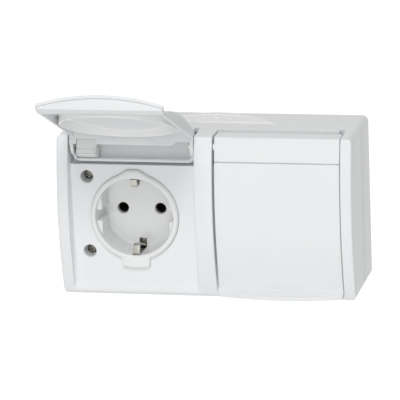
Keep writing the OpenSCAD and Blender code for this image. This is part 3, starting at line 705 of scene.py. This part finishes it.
# %% Lid shell
def lid_width(y, half):
    """Half the lid's width at depth y: round at the two rear corners, seen from above."""
    over = np.clip(y - (REAR_Y - REAR_R), 0, REAR_R)
    return half - REAR_R + np.sqrt(REAR_R ** 2 - over ** 2)


def half_section(skin, half, edge, chamfer=0.25):
    """Columns from the rim round one side to the skin: a chamfer, the wall and a quarter
    circle into the skin. Gives x, and (y, z)."""
    gap = np.linalg.norm(RIM - skin, axis=1)[:, None]
    e = np.minimum(edge, 0.4 * gap)
    a = np.linspace(0, np.pi / 2, 6)
    wall = np.maximum(e + (gap - chamfer - e) * np.array([1.0, 0.66, 0.33]), e)
    depth = np.concatenate([gap, wall, e * (1 - np.sin(a))], 1)
    inward = np.concatenate([np.full_like(gap, chamfer), 0 * wall, e * (1 - np.cos(a))], 1)
    yz = skin[:, None] + unit(RIM - skin)[:, None] * depth[:, :, None]
    return lid_width(yz[:, :, 0], half) - inward, yz


def whole_section(skin, half, edge, chamfer):
    """A half section, the skin between the two sides, and the half section mirrored."""
    x, yz = half_section(skin, half, edge, chamfer)
    mid_x = x[:, -1:] * np.linspace(-1, 1, 25)[1:-1]
    mid_yz = skin[:, None] + 0 * mid_x[:, :, None]
    return np.concatenate([np.concatenate([-x, mid_x, x[:, ::-1]], 1)[:, :, None],
                           np.concatenate([yz, mid_yz, yz[:, ::-1]], 1)], 2)


def lid_shell():
    """The whole skin as rows of closed sections, pinched shut at both ends."""
    outer = whole_section(OUTSIDE, HALF_LID, 0.55, 0.25)
    inner = whole_section(INSIDE, HALF_LID - SIDE_WALL, 0.8, -0.25)
    rows = np.concatenate([outer, inner[:, ::-1]], 1)
    middle = (outer + inner) / 2
    pinched = np.concatenate([middle, middle[:, ::-1]], 1)
    return np.concatenate([pinched[:1] - [0, 0, 0.3], rows, pinched[-1:] - [0, 0, 0.2]]), True


print("lid shell:", lid_shell()[0].shape[:2], "points")

# %% [markdown]
# ## Lip, rib and bosses of a lid
# The lip flares out below the crease and is bowed: its middle stands in front of the crown
# and its ends lie behind it. The rib closes the tray towards the hinge. Both are bars, whose
# rounded section is worked out at every X at once. Two small round bosses fill the gaps
# beside the lid at hinge height.

# %% Lip, rib and bosses
def bar(x, corners, radii):
    """A closed bar along x: at each x a section with rounded corners. corners are (y, z),
    each a number or one per x, and the last one is the first again."""
    lines = np.stack([np.stack(np.broadcast_arrays(y, z, x)[:2], -1) for y, z in corners], 1)
    yz = fillet(lines, radii, 5)[:, :-1]
    return loop_bar(np.concatenate([x[:, None, None] + 0 * yz[..., :1], yz], 2))


def lip():
    """Slants out from the crease to an arc, 2 mm in front of the crown at the middle and
    4.5 mm further back at its ends. A fine groove on its underside follows the same arc."""
    bow = 4.5
    end_x, end_in = np.array([0.0, 0.12, 0.35, 0.7]), np.array([0.6, 0.36, 0.13, 0.0])
    x = np.concatenate([-HALF_LID + end_x, np.linspace(-HALF_LID + 1.2, HALF_LID - 1.2, 49),
                        HALF_LID - end_x[::-1]])
    inset = np.concatenate([end_in, np.zeros(49), end_in[::-1]])
    bow_r = (HALF_LID ** 2 + bow ** 2) / (2 * bow)
    front = CROWN_Y - 2.0 + bow_r - np.sqrt(bow_r ** 2 - x ** 2) + inset
    crease = crown(CREASE_Z) + 0.3 * inset
    low = LIP_Z + inset
    return bar(x, [(LID_RIM_Y, CREASE_Z + 0.6), (crease + 0.25, CREASE_Z + 0.6),
                   (crease + 0.02, CREASE_Z), (front, LIP_Z + 1.5), (front, low),
                   (front + 1.5, low), (front + 1.5, low + 0.7), (front + 2.1, low + 0.7),
                   (front + 2.1, low), (LID_RIM_Y - 1.3, low), (LID_RIM_Y, CREASE_Z),
                   (LID_RIM_Y, CREASE_Z + 0.6)],
               [0.05, 0.05, 0.5, 0.3, 0.1, 0.1, 0.1, 0.1, 0.2, 0.05])


def rib():
    """The wall between tray and hinge room. Its free edge steps back behind the brake block
    and again at the right end."""
    x = np.concatenate([[-HALF_LID + SIDE_WALL - 0.3, -27.6, -27.45, -17.55, -17.4],
                        np.linspace(-16, 19, 14), np.linspace(19.5, 24, 10),
                        [HALF_LID - SIDE_WALL + 0.3]])
    back = -42.6 - 1.9 * smooth_step((x - 20.2) / 3.2) - 2.6 * (np.abs(x + 22.5) < 5)
    front = crown(29.2, 0.8)
    return bar(x, [(front, RIB_Z + 0.75), (front, RIB_Z), (back, RIB_Z), (back, RIB_Z + 1.5),
                   (front, RIB_Z + 1.5), (front, RIB_Z + 0.75)], [0.05, 0.45, 0.45, 0.05])


def boss(end, high):
    """A short stud on the lid's left (-1) or right (1) side, high mm proud of it."""
    points, wrap = spin([(0, -0.3), (1.8, -0.3), (1.8, high - 0.15), (1.6, high), (0, high)],
                        (0, -46.7, 35.5), "x", 40)
    return points * [end, 1, 1] + [end * HALF_LID, 0, 0], wrap


print("lip:", lip()[0].shape[:2], "points")

# %% [markdown]
# ## The lids in their bays
# A lid is drawn once, closed and at X = 0. Turning the finished object would leave its
# texture behind when the part is exported, so the points themselves are turned open about the
# hinge and moved to their bay. The bore for the hinge pins goes through both ends.

# %% Lids
BORE_R = 1.85
LID_BORE = spin([(0, -40), (BORE_R, -40), (BORE_R, 40), (0, 40)], (0, HINGE_Y, HINGE_Z), "x", 40)


def placed(grids, side, angle):
    """Grids drawn for a closed lid at X = 0, turned open by angle about the hinge, so that
    the front edge goes up, and moved to the bay on their side."""
    c, s = math.cos(-angle), math.sin(-angle)
    out = []
    for points, wrap in grids:
        y, z = points[..., 1] - HINGE_Y, points[..., 2] - HINGE_Z
        out.append((np.stack([points[..., 0] + side * BAY_X + LID_PLAY,
                              HINGE_Y + c * y - s * z, HINGE_Z + s * y + c * z], -1), wrap))
    return out


for side, name, angle in COVERS:
    lid = make_piece(name + "_lid_moulding", placed([lid_shell()], side, angle),
                     name + "_cover", "housing_white", name + "_lid", sharp=30)
    cut(lid, placed([LID_BORE], side, angle), sharp=30)
    add_forms(lid, placed([lip(), rib(), boss(-1, 0.8), boss(1, 0.15)], side, angle), sharp=30)
    describe(lid)

# %% [markdown]
# ## Lid seals
# A thin ring of soft white elastomer stands inside each lid and closes on the plate round
# the well. A torus would be too plain: this ring's foot follows the lid's curved skin while
# its round lip lies in one plane, so each loop takes its depth from one or the other.

# %% Seals
def seal_grid():
    """Loops from the foot outside over the rounded lip to the foot inside. Foot loops lie on
    the lid's skin, lip loops on a half circle in front of the plate."""
    outer, inner, lip_r = 28.225, 27.025, 0.6
    tip = PLATE_Y - 0.3
    t = np.linspace(0, np.pi, 9)
    none = np.full(2, np.nan)
    radius = np.concatenate([[outer + 0.4, outer], (outer + inner) / 2 + lip_r * np.cos(t),
                             [inner, inner - 0.4]])[:, None]
    lift = np.concatenate([[0, 0.5], 0 * t, [0.5, 0]])[:, None]
    lip_y = np.concatenate([none, tip - lip_r + lip_r * np.sin(t), none])[:, None]
    a = np.linspace(0, 2 * np.pi, 120, endpoint=False)
    x, z = radius * np.cos(a), WELL_Z + radius * np.sin(a)
    y = np.where(np.isnan(lip_y), crown(z, SKIN) - 0.1 + lift, lip_y)
    rows = np.stack([x, y, z], -1)
    return np.concatenate([rows, rows[:1]]), True


for side, name, angle in COVERS:
    describe(make_piece(name + "_lid_ring", placed([seal_grid()], side, angle),
                        name + "_cover", "seal_white", name + "_lid_seal"))

# %% [markdown]
# ## Brake blocks
# A white block sits at the left end of each hinge and grips its pin, so that the lid stays
# where it is put. It fills a notch in the rib, and two fine grooves cross its face. One
# closed section carried along X has the grooves in it already.

# %% Brake blocks
BRAKE_SECTION = np.array([
    (-44.9, 29.4), (-40.6, 29.4), (-40.4, 29.75), (-40.2, 29.4), (-38.2, 29.4), (-38.0, 29.8),
    (-37.8, 29.4), (-37.5, 29.45), (-37.25, 29.7), (-37.2, 30.0), (-37.2, 35.7),
    (-38.1, 36.2), (-38.15, 37.0), (-38.7, 38.4), (-40.4, 39.15), (-47.2, 39.15),
    (-48.1, 37.5), (-48.3, 30.3), (-45.3, 30.3), (-45.2, 29.7)])


def brake_grid():
    """The section at six places along X, a little smaller at both ends for a soft edge."""
    x = np.array([-27.4, -27.3, -27.1, -17.9, -17.7, -17.6])[:, None, None]
    size = np.array([0.95, 0.985, 1.0, 1.0, 0.985, 0.95])[:, None, None]
    mid = BRAKE_SECTION.mean(0)
    yz = mid + (BRAKE_SECTION - mid) * size
    return loop_bar(np.concatenate([x + 0 * yz[:, :, :1], yz], 2))


for side, name, angle in COVERS:
    brake = make_piece(name + "_brake", placed([brake_grid()], side, angle),
                       name + "_cover", "insert_white", name + "_brake_block", sharp=25)
    cut(brake, placed([LID_BORE], side, angle), sharp=25)
    describe(brake)

# %% [markdown]
# ## The rear box
# The rear box is a plain tray with round corners that is screwed to the wall. It could be a
# bevelled and hollowed cube, but as loops its rim, its seam and its wall come out in one go:
# from the middle of its back over the edge, along the walls, round the thin rim and down
# inside.

# %% Loops of the rear box
def box_loop(inset, y, steps=9):
    """A rectangle with quarter circles at its corners, drawn at depth y, inset all round."""
    radius = max(CORNER_R - inset, 0.8)
    a = np.linspace(0, np.pi / 2, steps)
    quarter = radius * pairs(np.cos(a), np.sin(a))
    half = np.array([HALF_W - inset - radius, HALF_H - inset - radius])
    turn = np.array([[0, 1], [-1, 0]])
    turns = [np.linalg.matrix_power(turn, k) for k in range(4)]
    signs = np.array([(1, 1), (-1, 1), (-1, -1), (1, -1)])
    loop = np.concatenate([quarter @ t + s * half for t, s in zip(turns, signs)])
    return np.column_stack([loop[:, 0], np.full(len(loop), y), loop[:, 1]])


def rounding(start, end, steps=5):
    """(inset, y) pairs along a quarter ellipse: start's y is kept first, end's inset last."""
    a = np.linspace(0, np.pi / 2, steps)
    (i0, y0), (i1, y1) = start, end
    return [(i0 + (i1 - i0) * (1 - math.cos(t)), y0 + (y1 - y0) * math.sin(t)) for t in a]


BOX_FLOOR = -2.5


def box_grid():
    """Loops of the rear box: back, edge, wall, rim, inside, with a pole at both ends."""
    stations = rounding((0, -0.6), (0.6, 0))[::-1]
    stations += rounding((0, SEAM_Y + 0.35), (0.35, SEAM_Y))
    stations += [(WALL - 0.2, SEAM_Y), (WALL, SEAM_Y + 0.2), (WALL, BOX_FLOOR - 0.4),
                 (WALL + 0.4, BOX_FLOOR)]
    poles = [box_loop(0, y) * [0, 1, 0] for y in (0, BOX_FLOOR)]
    return np.stack([poles[0]] + [box_loop(i, y) for i, y in stations] + [poles[1]]), True


print("rear box:", box_grid()[0].shape[:2], "points")

# %% [markdown]
# ## The cable entry's outline
# The entry in the top wall is lens-shaped: an arc of a circle over a straight chord. The hole
# and the soft seal that closes it are both stacks of this outline, moved in or out a little.

# %% Cable entry outline
ENTRY_R, ENTRY_MID, ENTRY_FRONT = 32.83, -35.43, -22.1   # the arc, its centre, the chord
ENTRY_POLE = [0.0, -19.0, 0.0]


def entry_loop(inset, z, arc_steps=61, chord_steps=25):
    """The outline at height z: an arc of a circle and the chord that cuts it."""
    r, front = ENTRY_R - inset, ENTRY_FRONT + inset
    reach = math.acos((front - ENTRY_MID) / r)
    t = np.linspace(reach, -reach, arc_steps)
    end = r * math.sin(reach)
    x = np.concatenate([r * np.sin(t), np.linspace(-end, end, chord_steps)[1:-1]])
    y = np.concatenate([ENTRY_MID + r * np.cos(t), np.full(chord_steps - 2, front)])
    return np.column_stack([x, y, np.full(len(x), z)])


def entry_form(stations):
    """A closed form of entry outlines from (inset, height) pairs, with a pole at both ends."""
    loops = [entry_loop(inset, z) for inset, z in stations]
    poles = [loop * [0, 0, 1] + ENTRY_POLE for loop in (loops[0], loops[-1])]
    return np.stack([poles[0]] + loops + [poles[1]]), True


print("entry outline:", len(entry_loop(0, 0)), "points")

# %% [markdown]
# ## The rear box with its holes and posts
# Four countersunk holes with bosses take the wall screws. Four posts take the cover screws,
# and eight short feet carry the two contact blocks. A part is judged from behind too, so the
# holes go right through.

# %% Rear box
WALL_HOLES = [(x, z) for x in (-62, 62) for z in (-29, 29)]
WALL_HOLE = [(0, 1), (3.0, 1), (3.0, -0.1), (2.3, -0.6), (2.3, -4), (0, -4)]
WALL_BOSS = [(2.3, -5.5), (4.1, -5.5), (4.3, -5.3), (4.3, -2.49), (2.3, -2.49), (2.3, -5.5)]
COVER_POST = [(0, -6.5), (1.53, -6.5), (1.53, -21.3), (1.73, -21.5), (3.8, -21.5), (4, -21.3),
              (4, -2.49), (0, -2.49)]
FOOT = [(0, -6), (2.5, -6), (2.5, -2.49), (0, -2.49)]
FEET = [(side * BAY_X + dx, WELL_Z + dz) for side, _ in SIDES for dx in (-16, 16)
        for dz in (-16, 16)]

box_piece = make_piece("rear_box_moulding", [box_grid()], "housing", "housing_white", "base_box")
cut(box_piece, [entry_form([(2.2, 37), (2.2, 43)])])
cut(box_piece, [spin(WALL_HOLE, (x, 0, z), steps=36) for x, z in WALL_HOLES])
add_forms(box_piece, [spin(WALL_BOSS, (x, 0, z), steps=36) for x, z in WALL_HOLES]
          + [spin(COVER_POST, (x, 0, z), steps=36) for x, z in SCREWS]
          + [spin(FOOT, (x, 0, z), steps=24) for x, z in FEET])
describe(box_piece)

# %% [markdown]
# ## Cable entry seal
# The seal is a soft white lens that bulges a little over the top wall. A broad rounded rim
# runs round it, and five low studs mark where a cable may be pushed through. The rim is what
# the light picks out, so it gets most of the outlines.

# %% Cable entry seal
LENS = [(2.35, 38.6), (2.35, 41.0), (0.15, 41.0), (0, 41.15), (0, 41.4), (0.2, 41.7),
        (0.7, 41.93), (1.3, 42.0), (3.2, 42.0), (3.7, 41.95), (4.1, 41.75), (4.3, 41.5),
        (4.6, 41.4)]
STUD = [(0, 41.2), (1.7, 41.2), (1.7, 41.55), (1.5, 41.85), (1.0, 41.98), (0, 42.0)]
stud_angles = np.radians(17.5 * (np.arange(5) - 2))
studs = [spin(STUD, (0.666 * ENTRY_R * math.sin(t), ENTRY_MID + 0.726 * ENTRY_R * math.cos(t), 0),
              "z", 32) for t in stud_angles]
describe(make_piece("cable_entry_membrane", [entry_form(LENS)] + studs, "housing", "seal_white",
                    "cable_entry_seal"))

# %% [markdown]
# ## Cover screws
# The cover screws are turned steel with a rounded edge and a cross recess whose arms narrow
# downwards. A cross painted on in the material would stay flat in the light, so it is cut.
# Real screws stop where they are tight, so each cross is turned differently.

# %% Cover screws
SCREW = [(0, -42.0), (1.2, -41.97), (1.95, -41.85), (2.3, -41.6), (2.42, -41.2),
         (2.42, -40.5), (2.32, -40.4), (1.5, -40.4), (1.5, -7.2), (1.2, -7.0), (0, -7.0)]
SCREW_TURNS = (0.3, 1.1, 0.5, 0.8)
CROSS = np.array([(1, .2), (.2, .2), (.2, 1), (-.2, 1), (-.2, .2), (-1, .2), (-1, -.2),
                  (-.2, -.2), (-.2, -1), (.2, -1), (.2, -.2), (1, -.2)])


def cross_pit(x, z, turn):
    """A cross-shaped pit: the same twelve corners at two depths, smaller at the lower one."""
    c, s = math.cos(turn), math.sin(turn)
    corners = CROSS @ np.array([[c, s], [-s, c]])
    rows = [(0, -42.4), (1.7, -42.4), (0.85, -40.9), (0, -40.9)]
    return np.stack([np.column_stack([x + k * corners[:, 0], np.full(12, y),
                                      z + k * corners[:, 1]]) for k, y in rows]), True


screw_piece = make_piece("cover_screw_set", [spin(SCREW, (x, 0, z), steps=40)
                                             for x, z in SCREWS],
                         "housing", "steel", "cover_screws", sharp=28)
cut(screw_piece, [cross_pit(x, z, turn) for (x, z), turn in zip(SCREWS, SCREW_TURNS)], sharp=28)
describe(screw_piece)

# %% [markdown]
# ## Earth clips
# Each earth clip is one strip of nickel-plated metal that comes up from behind the floor and
# springs into the well at top and bottom. A Bezier curve with a bevel would twist at the
# tight bends, so a rounded section is carried along the bent path, square to it all the way.

# %% Earth clips
def strip(path, width, thick, x0, edge=0.18):
    """A rounded rectangle carried along a path in Y-Z. It stands on the path's normal, which
    is the tangent turned by a quarter."""
    tangent = unit(np.gradient(path, axis=0))
    normal = np.stack([-tangent[:, 1], tangent[:, 0]], -1)
    a = np.linspace(0, 2 * np.pi, 16, endpoint=False)
    u = np.sign(np.cos(a)) * (width / 2 - edge) + edge * np.cos(a)
    v = np.sign(np.sin(a + 1e-6)) * (thick / 2 - edge) + edge * np.sin(a)
    yz = path[:, None] + v[None, :, None] * normal[:, None]
    x = x0 + u[None, :, None] + 0 * yz[:, :, :1]
    return loop_bar(np.concatenate([x, yz], 2))


# from the clip's tip in the well over its bend and down through the slot to behind the floor
CLIP_HALF = np.array([(-45.9, 19.0), (-43.9, 14.9), (-41.9, 14.9), (-31.2, 18.6),
                      (-28.15, 20.2), (-26.95, 19.65)])
CLIP_BENDS = [0.9, 0.9, 2.0, 0.5, 0.5, 0.5, 0.5, 2.0, 0.9, 0.9]
clip_line = fillet(np.concatenate([CLIP_HALF, CLIP_HALF[::-1] * [1, -1]]), CLIP_BENDS)
clip_path = resample(clip_line + [0, WELL_Z], 150)
for side, name in SIDES:
    describe(make_piece(name + "_earth_spring", [strip(clip_path, 3.4, 0.8, side * BAY_X)],
                        "housing", "steel", name + "_earth_clip"))

# %% [markdown]
# ## How a finish is made
# Each finish is a Principled shader. A large soft noise mixes two near colours and two
# roughnesses, as handling and the flow of the melt leave them, and a small noise raises the
# surface as the mould's grain or the metal's pores do. Image textures would need a layout for
# every piece. Noise on Object coordinates needs none, and its size is in real millimetres.

# %% A colour, a node, a finish
def linear(code):
    """sRGB hex to linear: below 0.04045 divide by 12.92, above it ((c + 0.055) / 1.055)^2.4."""
    c = np.array([int(code[i:i + 2], 16) for i in (1, 3, 5)]) / 255
    return (*np.where(c <= 0.04045, c / 12.92, ((c + 0.055) / 1.055) ** 2.4), 1.0)


def add_node(tree, kind, inputs=(), **settings):
    """Adds a node. Inputs are (socket, value or output socket); settings are attributes."""
    node = tree.nodes.new(kind)
    for key, value in settings.items():
        setattr(node, key, value)
    for socket, value in dict(inputs).items():
        if isinstance(value, bpy.types.NodeSocket):
            tree.links.new(value, node.inputs[socket])
        else:
            node.inputs[socket].default_value = value
    return node


def empty_tree(owner):
    """The node tree of a material or world, without the nodes that it came with."""
    owner.use_nodes = True
    owner.node_tree.nodes.clear()
    return owner.node_tree


def finish(name, colours, roughness, grain_mm, grain_depth, cloud_mm=14.0, **shader):
    """A material: a large soft pattern mixes two colours and two roughnesses, and a small one
    raises the surface by grain_depth mm."""
    material = bpy.data.materials.new(name)
    tree = empty_tree(material)
    place = add_node(tree, "ShaderNodeTexCoord").outputs["Object"]
    cloud = add_node(tree, "ShaderNodeTexNoise", {"Vector": place, "Scale": 1 / (cloud_mm * MM),
                                                  "Detail": 3.0, "Roughness": 0.55})
    grain = add_node(tree, "ShaderNodeTexNoise", {"Vector": place, "Scale": 1 / (grain_mm * MM),
                                                  "Detail": 2.0, "Roughness": 0.6})
    # sockets 6 and 7 are the two colours of a colour mix, and output 2 its result
    colour = add_node(tree, "ShaderNodeMix", {"Factor": cloud.outputs["Fac"],
                                              6: linear(colours[0]), 7: linear(colours[1])},
                      data_type="RGBA")
    rough = add_node(tree, "ShaderNodeMapRange", {"Value": cloud.outputs["Fac"], "From Min": 0.3,
                                                  "From Max": 0.7, "To Min": roughness[0],
                                                  "To Max": roughness[1]})
    bump = add_node(tree, "ShaderNodeBump", {"Height": grain.outputs["Fac"], "Strength": 0.5,
                                             "Distance": grain_depth * MM})
    surface = add_node(tree, "ShaderNodeBsdfPrincipled", {
        "Base Color": colour.outputs[2], "Roughness": rough.outputs["Result"],
        "Normal": bump.outputs["Normal"], **shader})
    add_node(tree, "ShaderNodeOutputMaterial", {"Surface": surface.outputs["BSDF"]})
    print("finish:", name)
    return material


print("the housing's white is", np.round(linear("#EEF0F1")[:3], 3), "in linear light")

# %% [markdown]
# ## The finishes
# The housing is ABS from an eroded mould: a clean cool white with a soft gloss. The inserts
# are a thermoset, harder and glossier. The seals are an elastomer, the contacts are stamped
# brass and the clips are nickel plated. CAD nodes that show through holes and slots keep
# their meshes and get a finish too, each from its slot in the record.

# %% Finishes and where they go
FINISHES = {
    # a cool clean white whose soft gloss gives long, quiet highlights along the crown
    "housing_white": finish("white ABS", ("#EAECED", "#EEF0F1"), (0.30, 0.36), 0.55, 0.006),
    # harder and glossier, so that the well shows bright rims and deep clear shade
    "insert_white": finish("white thermoset", ("#E9EAEA", "#EDEEEE"), (0.16, 0.22), 0.9, 0.004),
    # a matt dark grey, so that pin holes and slots look deep and nearly black
    "carrier_grey": finish("dark grey thermoset", ("#3B3B3A", "#454544"), (0.55, 0.68), 0.4, 0.02),
    # a soft white without sharp highlights
    "seal_white": finish("white elastomer", ("#F7F7F7", "#FBFBFB"), (0.38, 0.46), 0.7, 0.008),
    # dark and matt, so that the seam reads as a fine line
    "seal_grey": finish("grey elastomer", ("#57595C", "#636568"), (0.6, 0.75), 0.5, 0.02),
    # warm stamped metal
    "brass": finish("brass", ("#9C7D46", "#AD8D52"), (0.30, 0.48), 0.25, 0.006, Metallic=1.0),
    # nickel: neutral, bright where it faces the light and dark where it faces the well
    "steel": finish("nickel-plated steel", ("#ADAAA2", "#BEBBB3"), (0.16, 0.30), 0.22, 0.006,
                    cloud_mm=3.0, Metallic=1.0),
}
# painted shade: darker than the clips, so the heads read as dark discs deep in their holes
SCREW_SHADE_FINISH = finish("steel darkened as painted shade", ("#5F5D58", "#77746D"), (0.22, 0.38), 0.22, 0.008,
                      cloud_mm=2.0, Metallic=1.0)

for part in frame["record"]["subparts"]:
    mesh = frame["nodes"][part["node"]].data
    for i in range(len(mesh.materials)):
        mesh.materials[i] = FINISHES[part["material_slot"]]
for piece, slot in SLOT_OF.items():
    # the screws take steel darkened as painted shade of their deep holes
    piece.data.materials.append(SCREW_SHADE_FINISH if piece is screw_piece else FINISHES[slot])
print("finished pieces:", len(SLOT_OF))

# %% [markdown]
# ## Camera
# The photograph looks at the housing from a little to the right and from above, with a long
# lens. The place and the turn come from matching corners of the housing whose real places
# are known. A camera is set by where it stands and what it looks at, and then rolled.

# %% Camera
CAMERA_PLACE = np.array([367.5, -1680.3, 468.8])
YAW, PITCH, ROLL = math.radians(12.771), math.radians(15.362), math.radians(-2.164)


def look_from(place, target, roll):
    """Where a camera or lamp stands and how it is turned: its view axis goes from place to
    target, then it rolls about it."""
    view = (Vector(target) - Vector(place)).to_track_quat("-Z", "Y").to_matrix().to_4x4()
    return Matrix.Translation(Vector(place)) @ view @ Matrix.Rotation(roll, 4, "Z")


ahead = np.array([-math.sin(YAW) * math.cos(PITCH), math.cos(YAW) * math.cos(PITCH),
                  -math.sin(PITCH)])
lens = bpy.data.cameras.new("camera")
lens.lens, lens.sensor_width = 319.96, 36
lens.clip_start, lens.clip_end = 0.05, 20
camera = put("camera", lens)
camera.matrix_world = look_from(CAMERA_PLACE * MM, (CAMERA_PLACE + 1680 * ahead) * MM, ROLL)
bpy.context.scene.camera = camera
print("camera at", CAMERA_PLACE, "mm, lens", round(lens.lens, 1), "mm")

# %% [markdown]
# ## Light
# The object is shown as in a white studio. The world lights it evenly at a plain level, and
# three soft square lamps give it shape: the key from above, which shades the wells and the
# trough, a broad one in front that keeps the faces clean, and a weak low one that lifts the
# undersides. More light would bleach white plastic, so the camera alone sees a white world.

# %% World and lamps
SEEN = ("Is Camera Ray", "Is Glossy Ray", "Is Transmission Ray")
AMBIENT = 0.42


def seen_directly(tree):
    """1 where a camera, mirror or glass ray meets the thing, else 0: the greatest of three."""
    path = add_node(tree, "ShaderNodeLightPath")
    seen = path.outputs[SEEN[0]]
    for ray in SEEN[1:]:
        seen = add_node(tree, "ShaderNodeMath", {0: seen, 1: path.outputs[ray]},
                        operation="MAXIMUM").outputs[0]
    return seen


def soft_lamp(name, place, watts, size):
    """A square lamp of size metres that faces the object."""
    lamp = bpy.data.lights.new(name, "AREA")
    lamp.energy, lamp.size = watts, size
    put(name, lamp).matrix_world = look_from(place, (0, 0, 0), 0)


world = bpy.data.worlds.new("studio")
bpy.context.scene.world = world
tree = empty_tree(world)
strength = add_node(tree, "ShaderNodeMapRange", {"Value": seen_directly(tree), "To Min": AMBIENT,
                                                 "To Max": 1.0})
back_light = add_node(tree, "ShaderNodeBackground", {"Color": (1, 1, 1, 1),
                                                     "Strength": strength.outputs["Result"]})
add_node(tree, "ShaderNodeOutputWorld", {"Surface": back_light.outputs["Background"]})

soft_lamp("key", (0.05, -1.15, 1.15), 8.3, 0.45)
soft_lamp("front", (0.0, -1.6, 0.3), 2.8, 0.8)
soft_lamp("low", (0.0, -0.6, -0.27), 0.55, 0.4)
print("ambient", AMBIENT, "and three lamps")

# %% [markdown]
# ## Floor
# The housing hangs on a wall that the photograph doesn't show, so the floor lies well below
# it and only closes the studio. It is white paper that keeps a shadow. For the camera it
# also glows a little, so that it meets the white world without an edge.

# %% Floor
FLOOR_Z = -330
floor_grid = np.array([[(x, y, FLOOR_Z) for x in (-3000, 3000)] for y in (-2500, 4000)])
floor_piece = put("floor", make_mesh("floor", [(floor_grid, False)]))

paper = bpy.data.materials.new("white paper")
tree = empty_tree(paper)
sheet = add_node(tree, "ShaderNodeBsdfDiffuse", {"Color": linear("#F4F4F4")})
glow = add_node(tree, "ShaderNodeEmission", {"Color": (1, 1, 1, 1), "Strength": 0.66})
lit = add_node(tree, "ShaderNodeAddShader", {0: sheet.outputs[0], 1: glow.outputs[0]})
both = add_node(tree, "ShaderNodeMixShader", {0: seen_directly(tree), 1: sheet.outputs[0],
                                              2: lit.outputs[0]})
add_node(tree, "ShaderNodeOutputMaterial", {"Surface": both.outputs[0]})
floor_piece.data.materials.append(paper)
print("floor at", FLOOR_Z, "mm")

# %% [markdown]
# ## The end
# Colours are shown as they are written, with the Standard view.

# %% View
bpy.context.scene.view_settings.view_transform = "Standard"
